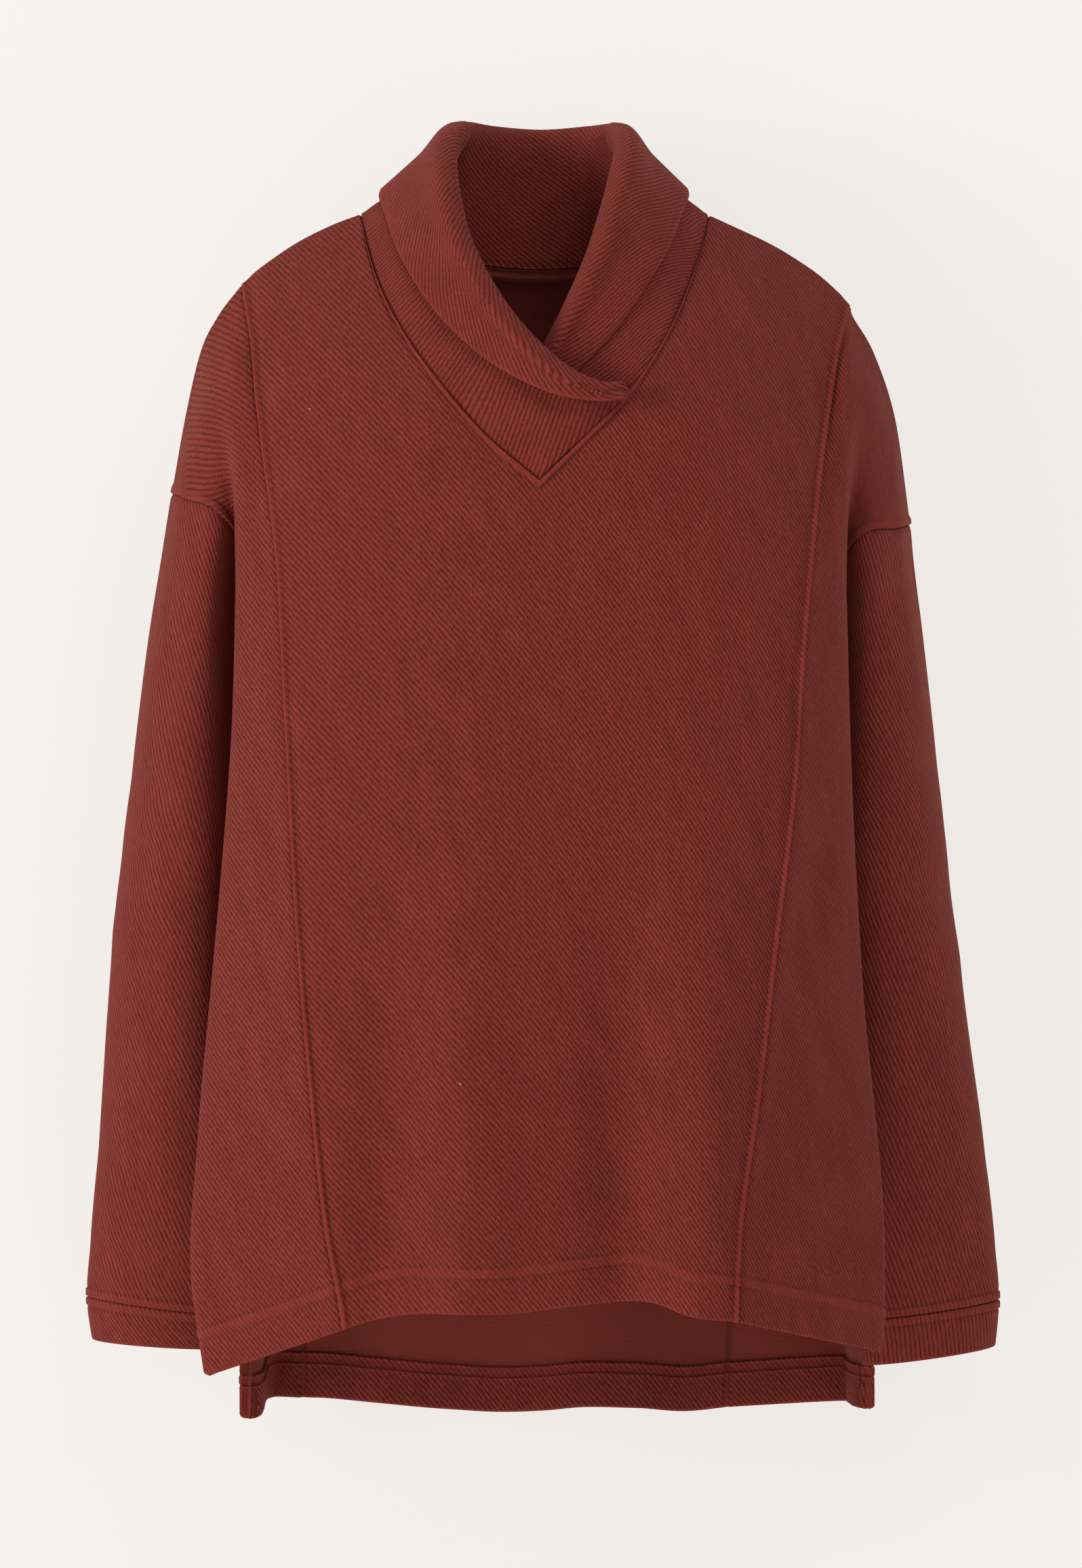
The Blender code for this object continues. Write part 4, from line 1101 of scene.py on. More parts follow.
def stitch(name, lines, closed=False):
    """Lockstitches along lines of points: each line is (points, the way out of the cloth)."""
    sewing = bpy.context.scene.tunic_sewing
    pitch = sewing.stitch_pitch / MM
    radius = sewing.thread / MM / 2
    vertices = []
    faces = []
    turns = np.arange(THREAD_SIDES) * 2 * np.pi / THREAD_SIDES
    for points, out in lines:
        if closed:
            points = np.concatenate([points, points[:1]])
            out = np.concatenate([out, out[:1]])
        far = np.concatenate([[0.0], np.cumsum(np.linalg.norm(np.diff(points, axis=0), axis=1))])
        places = np.arange(pitch / 2, far[-1] - pitch / 2, pitch)
        middle = np.stack([np.interp(places, far, points[:, k]) for k in range(3)], axis=1)
        ahead = np.stack([np.interp(places + 0.5, far, points[:, k]) for k in range(3)], axis=1)
        behind = np.stack([np.interp(places - 0.5, far, points[:, k]) for k in range(3)], axis=1)
        up = np.stack([np.interp(places, far, out[:, k]) for k in range(3)], axis=1)
        way = ahead - behind
        way = way / np.linalg.norm(way, axis=1)[:, None]
        beside = np.cross(way, up)
        beside = beside / np.linalg.norm(beside, axis=1)[:, None]
        up = np.cross(beside, way)
        for number in range(len(places)):
            base = len(vertices)
            for station, wide in STITCH_SHAPE:
                centre = middle[number] + way[number] * station * pitch * STITCH_SHARE
                centre = centre + up[number] * radius * (wide - STITCH_SINK)
                for turn in turns:
                    spoke = beside[number] * math.cos(turn) + up[number] * math.sin(turn)
                    vertices.append((centre + spoke * radius * wide) * MM)
            last = base + (len(STITCH_SHAPE) - 1) * THREAD_SIDES
            for ring in range(base, last, THREAD_SIDES):
                for k in range(THREAD_SIDES):
                    a = ring + k
                    b = ring + (k + 1) % THREAD_SIDES
                    faces.append((a, b, b + THREAD_SIDES, a + THREAD_SIDES))
            faces.append(tuple(base + k for k in range(THREAD_SIDES))[::-1])
            faces.append(tuple(last + k for k in range(THREAD_SIDES)))
    mesh = bpy.data.meshes.new(name)
    mesh.from_pydata(vertices, [], faces)
    mesh.polygons.foreach_set("use_smooth", np.ones(len(faces), dtype=bool))
    mesh.materials.append(polyester_thread())
    mesh.update()
    piece = bpy.data.objects.new(name, mesh)
    bpy.context.scene.collection.objects.link(piece)
    turn_out(piece)
    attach(piece, "root")
    return piece


def add(tree, kind, inputs=(), **settings):
    """One node with its settings. inputs are pairs of a socket and its value, or another node's output."""
    made = tree.nodes.new(kind)
    for key, value in settings.items():
        setattr(made, key, value)
    for socket, value in dict(inputs).items():
        if isinstance(value, bpy.types.NodeSocket):
            tree.links.new(value, made.inputs[socket])
        else:
            made.inputs[socket].default_value = value
    return made


def blank(name):
    """A material with only its Principled shader, or None where it was made before."""
    if name in bpy.data.materials:
        return bpy.data.materials[name], None, None
    made = bpy.data.materials.new(name)
    made.use_nodes = True
    tree = made.node_tree
    return made, tree, tree.nodes["Principled BSDF"]


def brushed_twill_knit():
    """The face of the cloth."""
    # A heavy double knit with a twill face, brushed: raised ribs 2.7 mm apart, broken by the loops of the
    # yarn, a heathered rust red, and a short nap that takes light at a glancing angle.
    # The colour darkens from the rib colour to the groove colour where the ribs and loops sink: painted
    # shade. Pressed places and edges are painted lighter: a painted highlight.
    made, tree, shader = blank("brushed_twill_knit")
    if tree is None:
        return made
    tone = bpy.context.scene.tunic_cloth
    flat = add(tree, "ShaderNodeUVMap", uv_map="ribs")
    pressed_and_highlit = add(tree, "ShaderNodeAttribute", attribute_name="pressed_and_highlit")
    ribs = add(tree, "ShaderNodeTexWave", {
        "Vector": flat.outputs[0],
        "Scale": 2 * math.pi / (20 * tone.rib_pitch),
        "Distortion": 2.0,
        "Detail": 3.0,
        "Detail Scale": 1.5,
        "Detail Roughness": 0.6,
    }, wave_type="BANDS", bands_direction="Y", wave_profile="SIN")
    wide = add(tree, "ShaderNodeMapRange", {
        "Value": ribs.outputs["Fac"], "From Min": 0.05, "From Max": 0.6, "To Min": 0.0, "To Max": 1.0})
    yarn_place = add(tree, "ShaderNodeMapping", {"Vector": flat.outputs[0], "Scale": (480, 700, 1)})
    yarn = add(tree, "ShaderNodeTexNoise", {
        "Vector": yarn_place.outputs[0], "Scale": 1.0, "Detail": 2.0, "Roughness": 0.55})
    loops = add(tree, "ShaderNodeMapRange", {
        "Value": yarn.outputs["Fac"], "From Min": 0.3, "From Max": 0.7, "To Min": 0.0, "To Max": 1.0})
    heather = add(tree, "ShaderNodeTexNoise", {
        "Vector": flat.outputs[0], "Scale": 46.0, "Detail": 4.0, "Roughness": 0.6})
    fibre = add(tree, "ShaderNodeTexNoise", {
        "Vector": flat.outputs[0], "Scale": 2300.0, "Detail": 2.0, "Roughness": 0.7})
    raised = add(tree, "ShaderNodeMix", {
        0: 0.42, 2: wide.outputs[0], 3: loops.outputs[0]}, data_type="FLOAT")
    # Pressed places lose their ribs in the bump and their painted groove shade in the colour, which paints
    # them lighter: a painted highlight.
    flatness = add(tree, "ShaderNodeMath", {0: pressed_and_highlit.outputs["Fac"], 1: 0.75}, operation="MULTIPLY")
    height = add(tree, "ShaderNodeMix", {
        0: flatness.outputs[0], 2: raised.outputs[0], 3: 0.85}, data_type="FLOAT")
    # Painted shade: how far the colour falls from the rib colour to the darker groove colour.
    groove_shade_share = add(tree, "ShaderNodeMapRange", {
        "Value": height.outputs[0], "From Min": 0.16, "From Max": 0.86, "To Min": 0.0, "To Max": 1.0})
    colour = add(tree, "ShaderNodeMix", {
        0: groove_shade_share.outputs[0], 6: (*tone.groove_painted_shade, 1), 7: (*tone.rib_light, 1)}, data_type="RGBA")
    patch = add(tree, "ShaderNodeMapRange", {
        "Value": heather.outputs["Fac"], "From Min": 0.3, "From Max": 0.7, "To Min": 0.9, "To Max": 1.1})
    fleck = add(tree, "ShaderNodeMapRange", {
        "Value": fibre.outputs["Fac"], "From Min": 0.3, "From Max": 0.7, "To Min": 0.78, "To Max": 1.22})
    tint = add(tree, "ShaderNodeMath", {0: patch.outputs[0], 1: fleck.outputs[0]}, operation="MULTIPLY")
    mottled = add(tree, "ShaderNodeVectorMath", {
        0: colour.outputs[2], 1: tint.outputs[0]}, operation="MULTIPLY")
    cells = add(tree, "ShaderNodeTexVoronoi", {"Vector": flat.outputs[0], "Scale": 34.0})
    near = add(tree, "ShaderNodeMath", {0: cells.outputs["Distance"], 1: 0.014}, operation="LESS_THAN")
    few = add(tree, "ShaderNodeSeparateColor", {0: cells.outputs["Color"]})
    some = add(tree, "ShaderNodeMath", {0: few.outputs[0], 1: 0.8}, operation="GREATER_THAN")
    speck = add(tree, "ShaderNodeMath", {0: near.outputs[0], 1: some.outputs[0]}, operation="MULTIPLY")
    speckled = add(tree, "ShaderNodeMix", {
        0: speck.outputs[0], 6: mottled.outputs[0], 7: (*tone.lint, 1)}, data_type="RGBA")
    bump = add(tree, "ShaderNodeBump", {
        "Height": height.outputs[0], "Strength": 0.8, "Distance": tone.rib_depth})
    tree.links.new(speckled.outputs[2], shader.inputs["Base Color"])
    tree.links.new(bump.outputs[0], shader.inputs["Normal"])
    shader.inputs["Roughness"].default_value = 0.94
    shader.inputs["Specular IOR Level"].default_value = 0.18
    shader.inputs["Sheen Weight"].default_value = 0.14
    shader.inputs["Sheen Roughness"].default_value = 0.45
    shader.inputs["Sheen Tint"].default_value = (0.95, 0.36, 0.27, 1)
    return made


def smooth_knit(name, roughness):
    """The inner face of the cloth, and the tape: fine level rows of loops, not brushed."""
    # The back of a double knit: flat, closely set rows about a millimetre high, dull and a little darker.
    made, tree, shader = blank(name)
    if tree is None:
        return made
    tone = bpy.context.scene.tunic_cloth
    flat = add(tree, "ShaderNodeUVMap", uv_map="rows")
    rows = add(tree, "ShaderNodeTexWave", {
        "Vector": flat.outputs[0],
        "Scale": 2 * math.pi / (20 * tone.row_pitch),
        "Distortion": 1.6,
        "Detail": 2.0,
        "Detail Scale": 0.8,
    }, wave_type="BANDS", bands_direction="Y", wave_profile="SIN")
    loops_place = add(tree, "ShaderNodeMapping", {"Vector": flat.outputs[0], "Scale": (950, 800, 1)})
    loops = add(tree, "ShaderNodeTexNoise", {
        "Vector": loops_place.outputs[0], "Scale": 1.0, "Detail": 2.0, "Roughness": 0.55})
    height = add(tree, "ShaderNodeMix", {
        0: 0.5, 2: rows.outputs["Fac"], 3: loops.outputs["Fac"]}, data_type="FLOAT")
    # Painted shade: the colour darkens where the rows and loops sink.
    tint = add(tree, "ShaderNodeMapRange", {
        "Value": height.outputs[0], "From Min": 0.25, "From Max": 0.75, "To Min": 0.8, "To Max": 1.12})
    colour = add(tree, "ShaderNodeVectorMath", {
        0: tuple(tone.inside), 1: tint.outputs[0]}, operation="MULTIPLY")
    bump = add(tree, "ShaderNodeBump", {
        "Height": height.outputs[0], "Strength": 0.6, "Distance": 0.0004})
    tree.links.new(colour.outputs[0], shader.inputs["Base Color"])
    tree.links.new(bump.outputs[0], shader.inputs["Normal"])
    shader.inputs["Roughness"].default_value = roughness
    shader.inputs["Specular IOR Level"].default_value = 0.2
    shader.inputs["Sheen Weight"].default_value = 0.1
    return made


def polyester_thread():
    """Sewing thread: spun polyester, twisted, with a soft shine."""
    # Spun polyester in the colour of the cloth: slightly darker and smoother than the brushed face.
    made, tree, shader = blank("spun_polyester_thread")
    if tree is None:
        return made
    place = add(tree, "ShaderNodeTexCoord")
    twist = add(tree, "ShaderNodeTexNoise", {
        "Vector": place.outputs["Object"], "Scale": 1800.0, "Detail": 1.0})
    tint = add(tree, "ShaderNodeMapRange", {
        "Value": twist.outputs["Fac"], "From Min": 0.3, "From Max": 0.7, "To Min": 0.75, "To Max": 1.15})
    colour = add(tree, "ShaderNodeVectorMath", {
        0: tuple(bpy.context.scene.tunic_sewing.thread_colour), 1: tint.outputs[0]}, operation="MULTIPLY")
    tree.links.new(colour.outputs[0], shader.inputs["Base Color"])
    shader.inputs["Roughness"].default_value = 0.62
    return made


def both_faces():
    """The cloth's outer and inner materials."""
    return brushed_twill_knit(), smooth_knit("smooth_knit_inside", 0.95)


def rib_places(x, z, front):
    """Where a point of the body lies on the flat cloth, along and across the ribs.

    front is True for the front's face, False for the back's and None for what shows from inside."""
    if front:
        slant = np.array(RIB_SLANT, float)
        fine = np.linspace(slant[0, 0] - 40, slant[-1, 0] + 40, 400)
        steep = np.tan(np.radians(np.interp(fine, slant[:, 0], slant[:, 1])))
        fall = np.concatenate([[0.0], np.cumsum((steep[1:] + steep[:-1]) / 2 * np.diff(fine))])
        across = z + np.interp(x, fine, fall)
    else:
        across = z + x * math.tan(math.radians(INSIDE_SLANT if front is None else -BACK_SLANT))
    pitch = bpy.context.scene.tunic_cloth.rib_pitch / MM
    return np.stack([x * LOOP_LENGTH, across * pitch / RIB_RISE], axis=-1)


def body_panel(word, side):
    """One panel of the body with its seams, turn-ups, creases and stitches."""
    whole = forms()
    front = word == "front"
    grid = whole["grids"][word, side]
    look = whole["facing"][word, side]
    across = whole["across"]
    start = arc(grid, 1)
    end = start[:, -1:] - start
    top = arc(grid, 0)
    bottom = top[-1:] - top
    rows = np.arange(grid.shape[0])[:, None]
    vent = (rows > SEAM_ROWS) * 1.0
    arm = (rows < FAN_ROWS) * 1.0
    lift = creases(grid, look, FRONT_CREASES if front else BACK_CREASES, 1 if front else -1)
    lift = lift * smooth_step(np.minimum(start, end) / CREASE_SIDE_FADE)
    lift = lift * smooth_step(np.minimum(top, bottom) / CREASE_END_FADE)
    for at in HEM_STITCHES:
        lift = lift + groove(bottom, at, *HEM_LINE)
    between = band(bottom, *HEM_STITCHES, 1.0)
    lift = lift + HEM_RISE * smooth_step((HEM_DEPTH - bottom) / HEM_SLOPE) + HEM_RIDGE * between
    # Pressed bands flatten their ribs and are painted lighter, a painted highlight: here the band between
    # the hem's stitch rows and the hem's edge.
    pressed_and_highlit = 0.5 * between - groove(bottom, *PAINTED_EDGE_HIGHLIGHT)
    if side == 0:
        ends = smooth_step((across - NECK_FROM) / NECK_FADE) * smooth_step((NECK_TO - across) / NECK_FADE)
        below_top = FLAT_AT_TOP + (1 - FLAT_AT_TOP) * smooth_step(top / TOP_FADE)
        seams = 0.0
        for far in (start, end):
            seams = seams + band(far, *SEAM_RIDGE) + groove(far, *SEAM_LINE) + groove(far, *BESIDE_SEAM)
            pressed_and_highlit = pressed_and_highlit + band(far, *SEAM_RIDGE[:2], 1.0)
        round_neck = band(top, *NECK_RIDGE) + groove(top, *NECK_LINE) + groove(top, *BESIDE_NECK)
        lift = lift + seams * below_top + round_neck * ends[None, :]
        pressed_and_highlit = pressed_and_highlit + 0.8 * band(top, *NECK_RIDGE[:2], 1.0) * ends[None, :]
    else:
        lift = lift + groove(start, *PANEL_DIP) * smooth_step(top / PANEL_DIP_FADE)
        lift = lift + vent * (band(end, *VENT_RIDGE) + groove(end, *VENT_LINE))
        lift = lift + arm * band(end, *SHOULDER_LIP) + (1 - vent - arm) * groove(end, *SIDE_SEAM_DIP)
        pressed_and_highlit = pressed_and_highlit + 0.5 * vent * band(end, *VENT_RIDGE[:2], 1.0)
        pressed_and_highlit = pressed_and_highlit + 0.6 * arm * band(end, *SHOULDER_LIP[:2], 1.0)
    wall = CLOTH + TURNED * smooth_step((HEM_DEPTH - bottom) / TURN_SLOPE)
    if side != 0:
        wall = np.maximum(wall, CLOTH + VENT_TURNED * smooth_step((VENT_WIDTH - end) / TURN_SLOPE) * vent)
    free = bottom if side == 0 else np.minimum(bottom, np.where(vent > 0, end, bottom))
    far = np.minimum(np.minimum(start, end), np.minimum(top, bottom))
    middle = grid - look * (wall / 2)[..., None] + look * lift[..., None]
    middle = draw_in(middle, SEAM_SLIT / 2, (True, False), (True, side == 0))
    if side != 0:
        out_of_corner = np.clip(CORNER - end, 0.0, CORNER) * np.clip(1 - bottom / CORNER_HEIGHT, 0.0, 1.0)
        middle[..., 2] += CORNER - np.sqrt(CORNER**2 - np.minimum(out_of_corner, CORNER * 0.999) ** 2)
    outer = middle + look * half_wall(wall, far)
    inner = middle - look * half_wall(wall, free)
    x = grid[..., 0] if side == 0 else grid[:, :1, 0] + side * start
    z = np.where(rows <= FAN_ROWS, grid[:, :1, 2], grid[..., 2]) if side else grid[..., 2]
    ribs = rib_places(x, z, front)
    upright = np.stack([z, x + STRIP_LEAN * z], axis=-1)
    strip = (end < VENT_WIDTH) & (vent > 0) & (side != 0)
    behind = np.where(strip[..., None], upright, rib_places(x, z, None))
    knit_rows = np.stack([x, z], axis=-1)
    places = {0: "centre", -1: "side_left", 1: "side_right"}
    node = word + "_" + places[side]
    turned = (bottom < HEM_DEPTH) | strip
    piece = cloth("tunic_" + node, node, outer, inner, False, (ribs, behind), knit_rows,
                  both_faces(), np.clip(pressed_and_highlit, 0.0, 1.0), turned)
    lines = [sewn(outer, look, bottom, at, 0) for at in HEM_STITCHES]
    if side == 0:
        neck = (across > NECK_FROM) & (across < NECK_TO)
        for far in (start, end):
            lines.append(sewn(outer, look, far, SEAM_LINE[0], 1))
        lines.append(sewn(outer, look, top, NECK_LINE[0], 0, neck))
    else:
        lines.append(sewn(outer, look, end, VENT_LINE[0], 1, slice(SEAM_ROWS + 1, None)))
    if not front:
        for at in (OVERLOCK, HEM_STITCHES[0]):
            lines.append(sewn(inner, -look, bottom, at, 0))
    thread = stitch("tunic_" + node + "_stitches", lines)
    return inner


def draw_in(grid, gap, rows, columns):
    """Draw the sewn edges of a grid in by a gap."""
    grid = grid.copy()
    for flag, edge, inner in ((rows[0], 0, 1), (rows[1], -1, -2)):
        if flag:
            way = grid[inner] - grid[edge]
            grid[edge] += way / np.linalg.norm(way, axis=1)[:, None] * gap
    for flag, edge, inner in ((columns[0], 0, 1), (columns[1], -1, -2)):
        if flag:
            way = grid[:, inner] - grid[:, edge]
            grid[:, edge] += way / np.linalg.norm(way, axis=1)[:, None] * gap
    return grid


def tube(word, side):
    """A sleeve or a cuff, laid out from its underarm seam round the back and outer side to the front."""
    whole = forms()
    grid = np.roll(whole["grids"][word, side], -FAN_ROWS, axis=1)
    look = np.roll(whole["facing"][word, side], -FAN_ROWS, axis=1)
    top = arc(grid, 0)
    bottom = top[-1:] - top
    wide_grid = np.concatenate([grid, grid[:, :1]], axis=1)
    round_arc = arc(wide_grid, 1)
    sleeve = word == "sleeve"
    name = "left" if side < 0 else "right"
    if sleeve:
        lift = 0.0
        for facing_way in (1, -1):
            table = [row[:6] for row in SLEEVE_CREASES if row[6] == facing_way and row[0] * side > 0]
            lift = lift + creases(grid, look, table, facing_way)
        lift = lift * smooth_step(np.minimum(top, bottom) / SLEEVE_CREASE_FADE) + groove(top, *SLEEVE_DIP)
        wall = np.full(top.shape, CLOTH)
        cuff_seam = bottom
    else:
        lift = 0.0
        wall = np.full(top.shape, CUFF_CLOTH)
        cuff_seam = top
    lift = lift + band(cuff_seam, *CUFF_RIDGE) + groove(cuff_seam, *CUFF_LINE)
    seam = np.minimum(round_arc[:, :-1], round_arc[:, -1:] - round_arc[:, :-1])
    lift = lift + groove(seam, *UNDERARM_DIP)
    # The cuff seam is pressed; the underarm seam and the cuff's end carry a painted highlight.
    pressed_and_highlit = band(cuff_seam, *CUFF_RIDGE[:2], 0.5) - groove(seam, *PAINTED_SEAM_HIGHLIGHT)
    if not sleeve:
        pressed_and_highlit = pressed_and_highlit - groove(bottom, *PAINTED_EDGE_HIGHLIGHT)
    middle = grid - look * (wall / 2)[..., None] + look * lift[..., None]
    middle = draw_in(middle, SEAM_SLIT / 2, (True, sleeve), (False, False))
    outer = middle + look * half_wall(wall, np.minimum(top, bottom))
    inner = middle - look * half_wall(wall, np.full(top.shape, CUFF_CLOTH) if sleeve else bottom)
    x = -side * round_arc
    z = wide_grid[..., 2]
    steep = math.radians(SLEEVE_SLANT)
    ribs = np.stack([x, z * math.cos(steep) + x * math.sin(steep)], axis=-1)
    knit_rows = np.stack([x, z], axis=-1)
    node = word + "_" + name
    piece = cloth("tunic_" + node, node, outer, inner, True, (ribs, ribs), knit_rows,
                  both_faces(), np.clip(pressed_and_highlit, 0.0, 1.0))
    thread = stitch("tunic_" + node + "_stitches", [sewn(outer, look, cuff_seam, CUFF_LINE[0], 0)], True)


def collar_ribs(grid, slant, flat_end):
    """Where the points of the collar lie on the flat cloth, along its ribs and across them.

    The ribs are laid out from the roll line, or straight over the point of the neckline at a flat end."""
    middle = round((grid.shape[1] - 1) * COLLAR_KNOTS[3])
    roll = grid[:, middle]
    way = np.gradient(roll, axis=0)
    way = way / np.linalg.norm(way, axis=1)[:, None]
    width = arc(grid, 1)
    beyond = width - width[:, middle:middle + 1]
    length = arc(grid, 0)[:, middle:middle + 1] + ((grid - roll[:, None]) * way[:, None]).sum(axis=2)
    table = np.array(slant, float)
    fine = np.linspace(length.min(), length.max(), 800)
    angle = np.radians(np.interp(fine, table[:, 0], table[:, 1]))
    step = fine[1] - fine[0]
    turn = np.interp(length, fine, angle)
    rises = np.interp(length, fine, np.cumsum(np.sin(angle)) * step) - np.cos(turn) * beyond
    runs = np.interp(length, fine, np.cumsum(np.cos(angle)) * step) + np.sin(turn) * beyond
    if flat_end:
        steep = math.radians(V_SLANT)
        straight = grid[..., 2] * math.cos(steep) - grid[..., 0] * math.sin(steep)
        along_roll = arc(grid, 0)[:, middle:middle + 1]
        there = int(np.abs(along_roll - V_FROM).argmin())
        straight = straight + (rises[there, :middle] - straight[there, :middle]).mean()
        rises = straight + (rises - straight) * smooth_step((along_roll - V_FROM) / V_OVER)
    return np.stack([runs, rises], axis=-1)


class TUNIC_OT_front(bpy.types.Operator):
    """Cut and sew the three front panels."""

    bl_idname = "tunic.front"
    bl_label = "Front panels"

    def execute(self, context):
        for side in (0, -1, 1):
            body_panel("front", side)
        return {"FINISHED"}


class TUNIC_OT_back(bpy.types.Operator):
    """Cut and sew the three back panels."""

    bl_idname = "tunic.back"
    bl_label = "Back panels"

    def execute(self, context):
        for side in (0, -1, 1):
            inner = body_panel("back", side)
            if side == 0:
                made_forms["back_inside"] = inner
        return {"FINISHED"}


class TUNIC_OT_sleeves(bpy.types.Operator):
    """Cut and sew both sleeves."""

    bl_idname = "tunic.sleeves"
    bl_label = "Sleeves"

    def execute(self, context):
        for side in (-1, 1):
            tube("sleeve", side)
        return {"FINISHED"}


class TUNIC_OT_cuffs(bpy.types.Operator):
    """Cut and sew both cuff bands."""

    bl_idname = "tunic.cuffs"
    bl_label = "Cuffs"

    def execute(self, context):
        for side in (-1, 1):
            tube("cuff", side)
        return {"FINISHED"}


class TUNIC_OT_collar(bpy.types.Operator):
    """Cut, turn and roll the crossed shawl collar."""

    bl_idname = "tunic.collar"
    bl_label = "Shawl collar"

    def execute(self, context):
        whole = forms()
        grid = whole["grids"]["collar", 0]
        look = whole["facing"]["collar", 0]
        along = arc(grid, 0)
        width = arc(grid, 1)
        free = width[:, -1:] - width
        over = 1 - smooth_step((along - OVER_END[0]) / OVER_END[1])
        lift = groove(free, *COLLAR_EDGE_DIP) + groove(width, *COLLAR_SEAM_DIP)
        thin = OVER_THIN * over * smooth_step((OVER_EDGE - free) / OVER_EDGE)
        wall = COLLAR_CLOTH - thin
        ends = np.minimum(along, along[-1:] - along)
        half = half_wall(wall, np.minimum(np.minimum(width, free), ends))
        middle = grid + look * (thin / 2)[..., None]
        outer = middle + look * (half + lift[..., None])
        inner = middle - look * half
        length = along.mean(axis=1)[:, None] + 0 * width
        # Painted highlight along the collar's free edge.
        pressed_and_highlit = -groove(free, *PAINTED_COLLAR_HIGHLIGHT)
        piece = cloth("tunic_collar", "collar", outer, inner, False,
                      (collar_ribs(grid, STAND_SLANT, True), collar_ribs(grid, FALL_SLANT, False)),
                      np.stack([length, width], axis=-1), (brushed_twill_knit(),), pressed_and_highlit)
        return {"FINISHED"}


class TUNIC_OT_neck_tape(bpy.types.Operator):
    """Lay the tape over the seam inside the back of the neck."""

    bl_idname = "tunic.neck_tape"
    bl_label = "Neck tape"

    def execute(self, context):
        whole = forms()
        if "back_inside" not in made_forms:
            raise RuntimeError("the back panels come before the neck tape")
        keep = (whole["across"] > NECK_FROM + TAPE_INSET) & (whole["across"] < NECK_TO - TAPE_INSET)
        inside = whole["back_inside"][:, keep]
        look = whole["facing"]["back", 0][:, keep]
        down = arc(inside, 0)
        depths = np.array(TAPE_STEPS) + TAPE_DROP
        points = np.stack([line_at(inside, down, at, 0) for at in depths])
        out = np.stack([line_at(look, down, at, 0) for at in depths])
        out = out / np.linalg.norm(out, axis=2)[..., None]
        near = np.minimum(depths - depths[0], depths[-1] - depths)[:, None] * np.ones(points.shape[:2])
        half = half_wall(np.full(points.shape[:2], TAPE_CLOTH), near)
        bow = TAPE_BOW * np.sin(np.pi * (depths - depths[0]) / TAPE_DEPTH)[:, None, None]
        middle = points - out * (TAPE_GAP + TAPE_CLOTH / 2 + bow)
        outer = middle + out * half
        inner = middle - out * half
        flat = np.stack([arc(points, 1), arc(points, 0)], axis=-1)
        piece = cloth("tunic_neck_tape", "neck_tape", outer, inner, False, (flat, flat), flat,
                      (smooth_knit("knitted_neck_tape", 0.9),), 0 * near)
        lines = []
        arcs = arc(inner, 0)
        for at in (TAPE_STITCH, TAPE_DEPTH - TAPE_STITCH):
            lines.append(sewn(inner, -out, arcs, at, 0))
        thread = stitch("tunic_neck_tape_stitches", lines)
        return {"FINISHED"}


class TUNIC_OT_stage(bpy.types.Operator):
    """Set the floor, the backdrop, the soft lights and the camera."""

    bl_idname = "tunic.stage"
    bl_label = "Stage"

    def execute(self, context):
        stage = context.scene.tunic_stage
        far = FLOOR_HALF
        floor = plane("stage_floor", (
            (-far, -far, FLOOR_Z), (far, -far, FLOOR_Z), (far, far, FLOOR_Z), (-far, far, FLOOR_Z)))
        x = BACKDROP_HALF
        y = BACKDROP_Y
        back = plane("stage_backdrop", (
            (-x, y, FLOOR_Z), (x, y, FLOOR_Z), (x, y, BACKDROP_TOP), (-x, y, BACKDROP_TOP)))
        floor.data.materials.append(matt_paper("matt_paper_floor", False))
        back.data.materials.append(matt_paper("matt_paper_backdrop", True))
        soft_light("key_light", (-2.3, -1.6, 0.15), (0.0, 0.0, -0.36), 1.0,
                   stage.key_power, (1.0, 0.985, 0.965))
        soft_light("fill_light", (0.9, -2.1, 1.7), (0.0, 0.0, -0.1), 1.4,
                   stage.key_power * FILL_SHARE, (0.99, 0.99, 1.0))
        world = bpy.data.worlds.new("studio_room")
        world.use_nodes = True
        room = world.node_tree.nodes["Background"]
        room.inputs["Color"].default_value = (1.0, 0.99, 0.975, 1)
        room.inputs["Strength"].default_value = stage.sky
        context.scene.world = world
        context.scene.view_settings.view_transform = "Standard"
        lens = bpy.data.cameras.new("front_camera")
        lens.sensor_fit = "HORIZONTAL"
        lens.sensor_width = SENSOR
        lens.lens = SENSOR * CAMERA_DISTANCE / PHOTO_WIDTH
        camera = bpy.data.objects.new("front_camera", lens)
        camera.location = (0.0, -CAMERA_DISTANCE, CAMERA_Z)
        camera.rotation_euler = (math.pi / 2, 0.0, 0.0)
        context.scene.collection.objects.link(camera)
        context.scene.camera = camera
        return {"FINISHED"}


def plane(name, corners):
    mesh = bpy.data.meshes.new(name)
    mesh.from_pydata(corners, [], [(0, 1, 2, 3)])
    made = bpy.data.objects.new(name, mesh)
    bpy.context.scene.collection.objects.link(made)
    return made


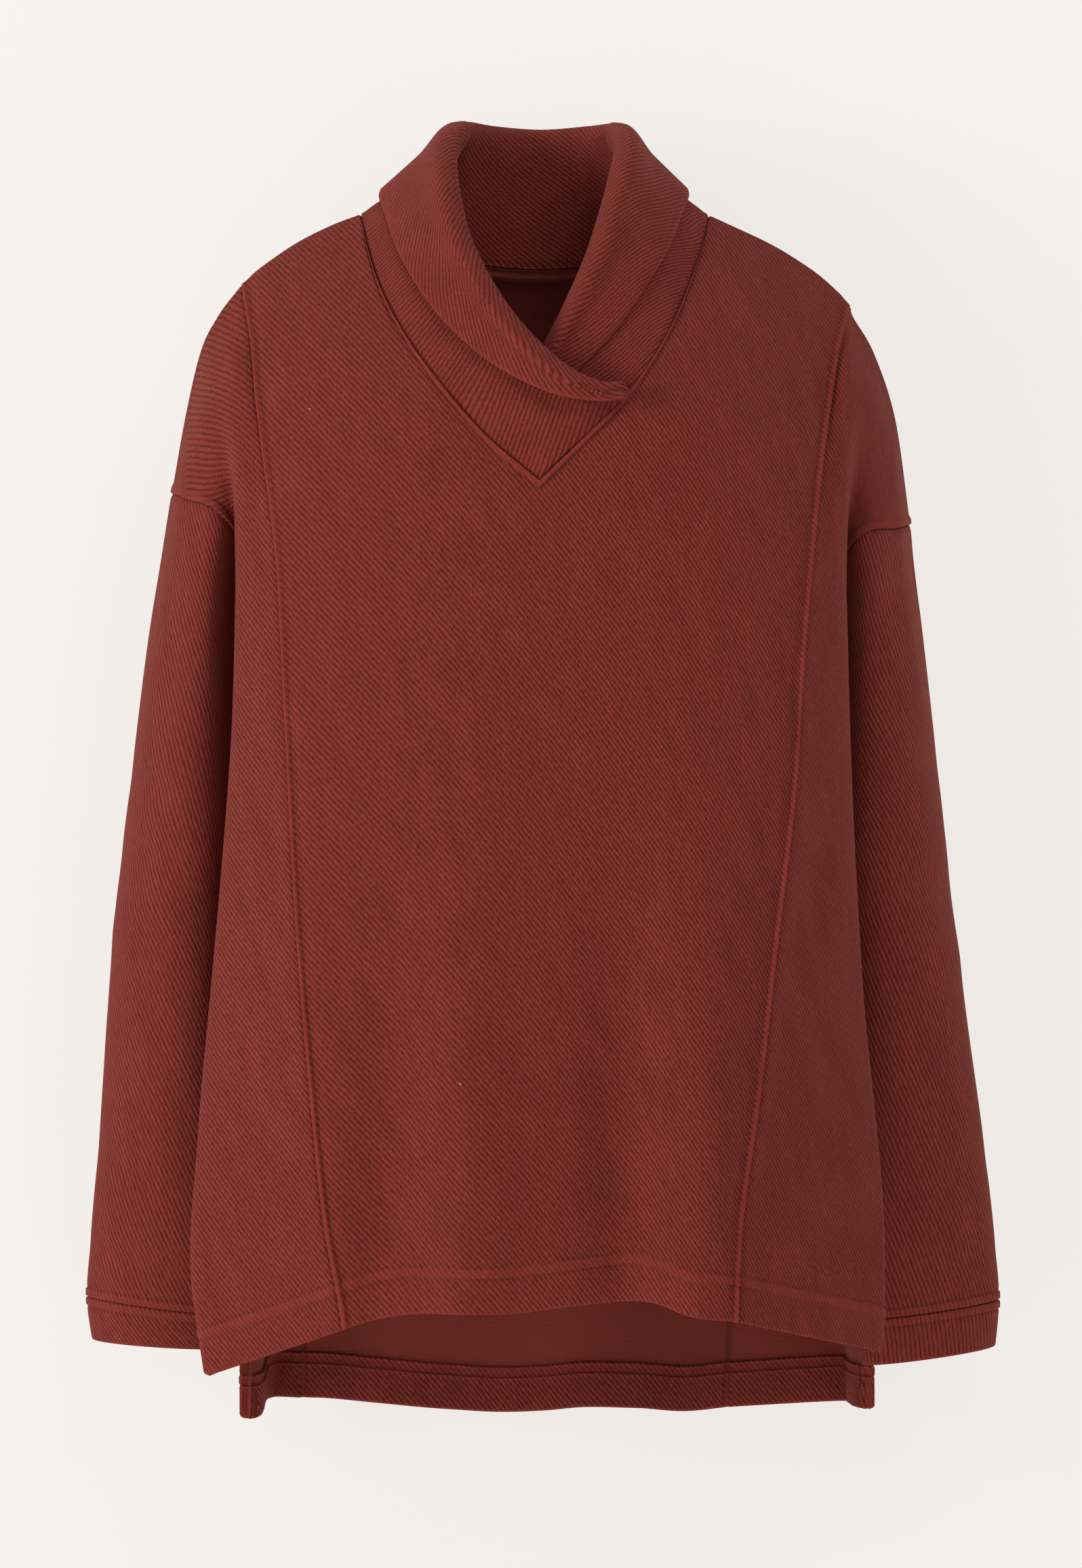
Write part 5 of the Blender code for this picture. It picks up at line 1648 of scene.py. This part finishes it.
def matt_paper(name, one_sided):
    """Seamless matt paper, an even off-white with a very fine grain, that may show only from its front."""
    made, tree, shader = blank(name)
    if tree is None:
        return made
    tone = bpy.context.scene.tunic_stage
    place = add(tree, "ShaderNodeTexCoord")
    grain = add(tree, "ShaderNodeTexNoise", {
        "Vector": place.outputs["Object"], "Scale": 600.0, "Detail": 2.0})
    tint = add(tree, "ShaderNodeMapRange", {
        "Value": grain.outputs["Fac"], "From Min": 0.3, "From Max": 0.7, "To Min": 0.97, "To Max": 1.0})
    dull = tuple(PAPER_SHADE * value for value in tone.ground)
    colour = add(tree, "ShaderNodeVectorMath", {0: dull, 1: tint.outputs[0]}, operation="MULTIPLY")
    tree.links.new(colour.outputs[0], shader.inputs["Base Color"])
    shader.inputs["Roughness"].default_value = 0.95
    shader.inputs["Specular IOR Level"].default_value = 0.1
    shader.inputs["Emission Color"].default_value = (*tone.ground, 1)
    shader.inputs["Emission Strength"].default_value = PAPER_GLOW
    if one_sided:
        face = add(tree, "ShaderNodeNewGeometry")
        clear = add(tree, "ShaderNodeBsdfTransparent")
        both = add(tree, "ShaderNodeMixShader", {
            0: face.outputs["Backfacing"], 1: shader.outputs[0], 2: clear.outputs[0]})
        tree.links.new(both.outputs[0], tree.nodes["Material Output"].inputs["Surface"])
    return made


def soft_light(name, where, at, size, power, colour):
    light = bpy.data.lights.new(name, "AREA")
    light.shape = "SQUARE"
    light.size = size
    light.energy = power
    light.color = colour
    made = bpy.data.objects.new(name, light)
    made.location = where
    way = np.array(at) - np.array(where)
    flat = math.hypot(way[0], way[1])
    made.rotation_euler = (math.atan2(flat, -way[2]), 0.0, math.atan2(-way[0], way[1]))
    bpy.context.scene.collection.objects.link(made)


OPERATORS = (
    TUNIC_OT_front, TUNIC_OT_back, TUNIC_OT_sleeves, TUNIC_OT_cuffs, TUNIC_OT_collar, TUNIC_OT_neck_tape,
    TUNIC_OT_stage,
)


class TUNIC_PT_panel(bpy.types.Panel):
    """Sizes, colours and pieces of the tunic."""

    bl_idname = "TUNIC_PT_panel"
    bl_label = "Shawl collar tunic"
    bl_space_type = "VIEW_3D"
    bl_region_type = "UI"
    bl_category = "Tunic"

    def draw(self, context):
        for group in (context.scene.tunic_cloth, context.scene.tunic_sewing, context.scene.tunic_stage):
            for name in group.__annotations__:
                self.layout.prop(group, name)
        for kind in OPERATORS:
            self.layout.operator(kind.bl_idname)


CLASSES = (TunicCloth, TunicSewing, TunicStage, *OPERATORS, TUNIC_PT_panel)


def register():
    for kind in CLASSES:
        bpy.utils.register_class(kind)
    bpy.types.Scene.tunic_cloth = bpy.props.PointerProperty(type=TunicCloth)
    bpy.types.Scene.tunic_sewing = bpy.props.PointerProperty(type=TunicSewing)
    bpy.types.Scene.tunic_stage = bpy.props.PointerProperty(type=TunicStage)


def unregister():
    del bpy.types.Scene.tunic_cloth
    del bpy.types.Scene.tunic_sewing
    del bpy.types.Scene.tunic_stage
    for kind in reversed(CLASSES):
        bpy.utils.unregister_class(kind)


def main():
    register()
    bpy.ops.tunic.front()
    bpy.ops.tunic.back()
    bpy.ops.tunic.sleeves()
    bpy.ops.tunic.cuffs()
    bpy.ops.tunic.collar()
    bpy.ops.tunic.neck_tape()
    bpy.ops.tunic.stage()


if __name__ == "__main__":
    main()
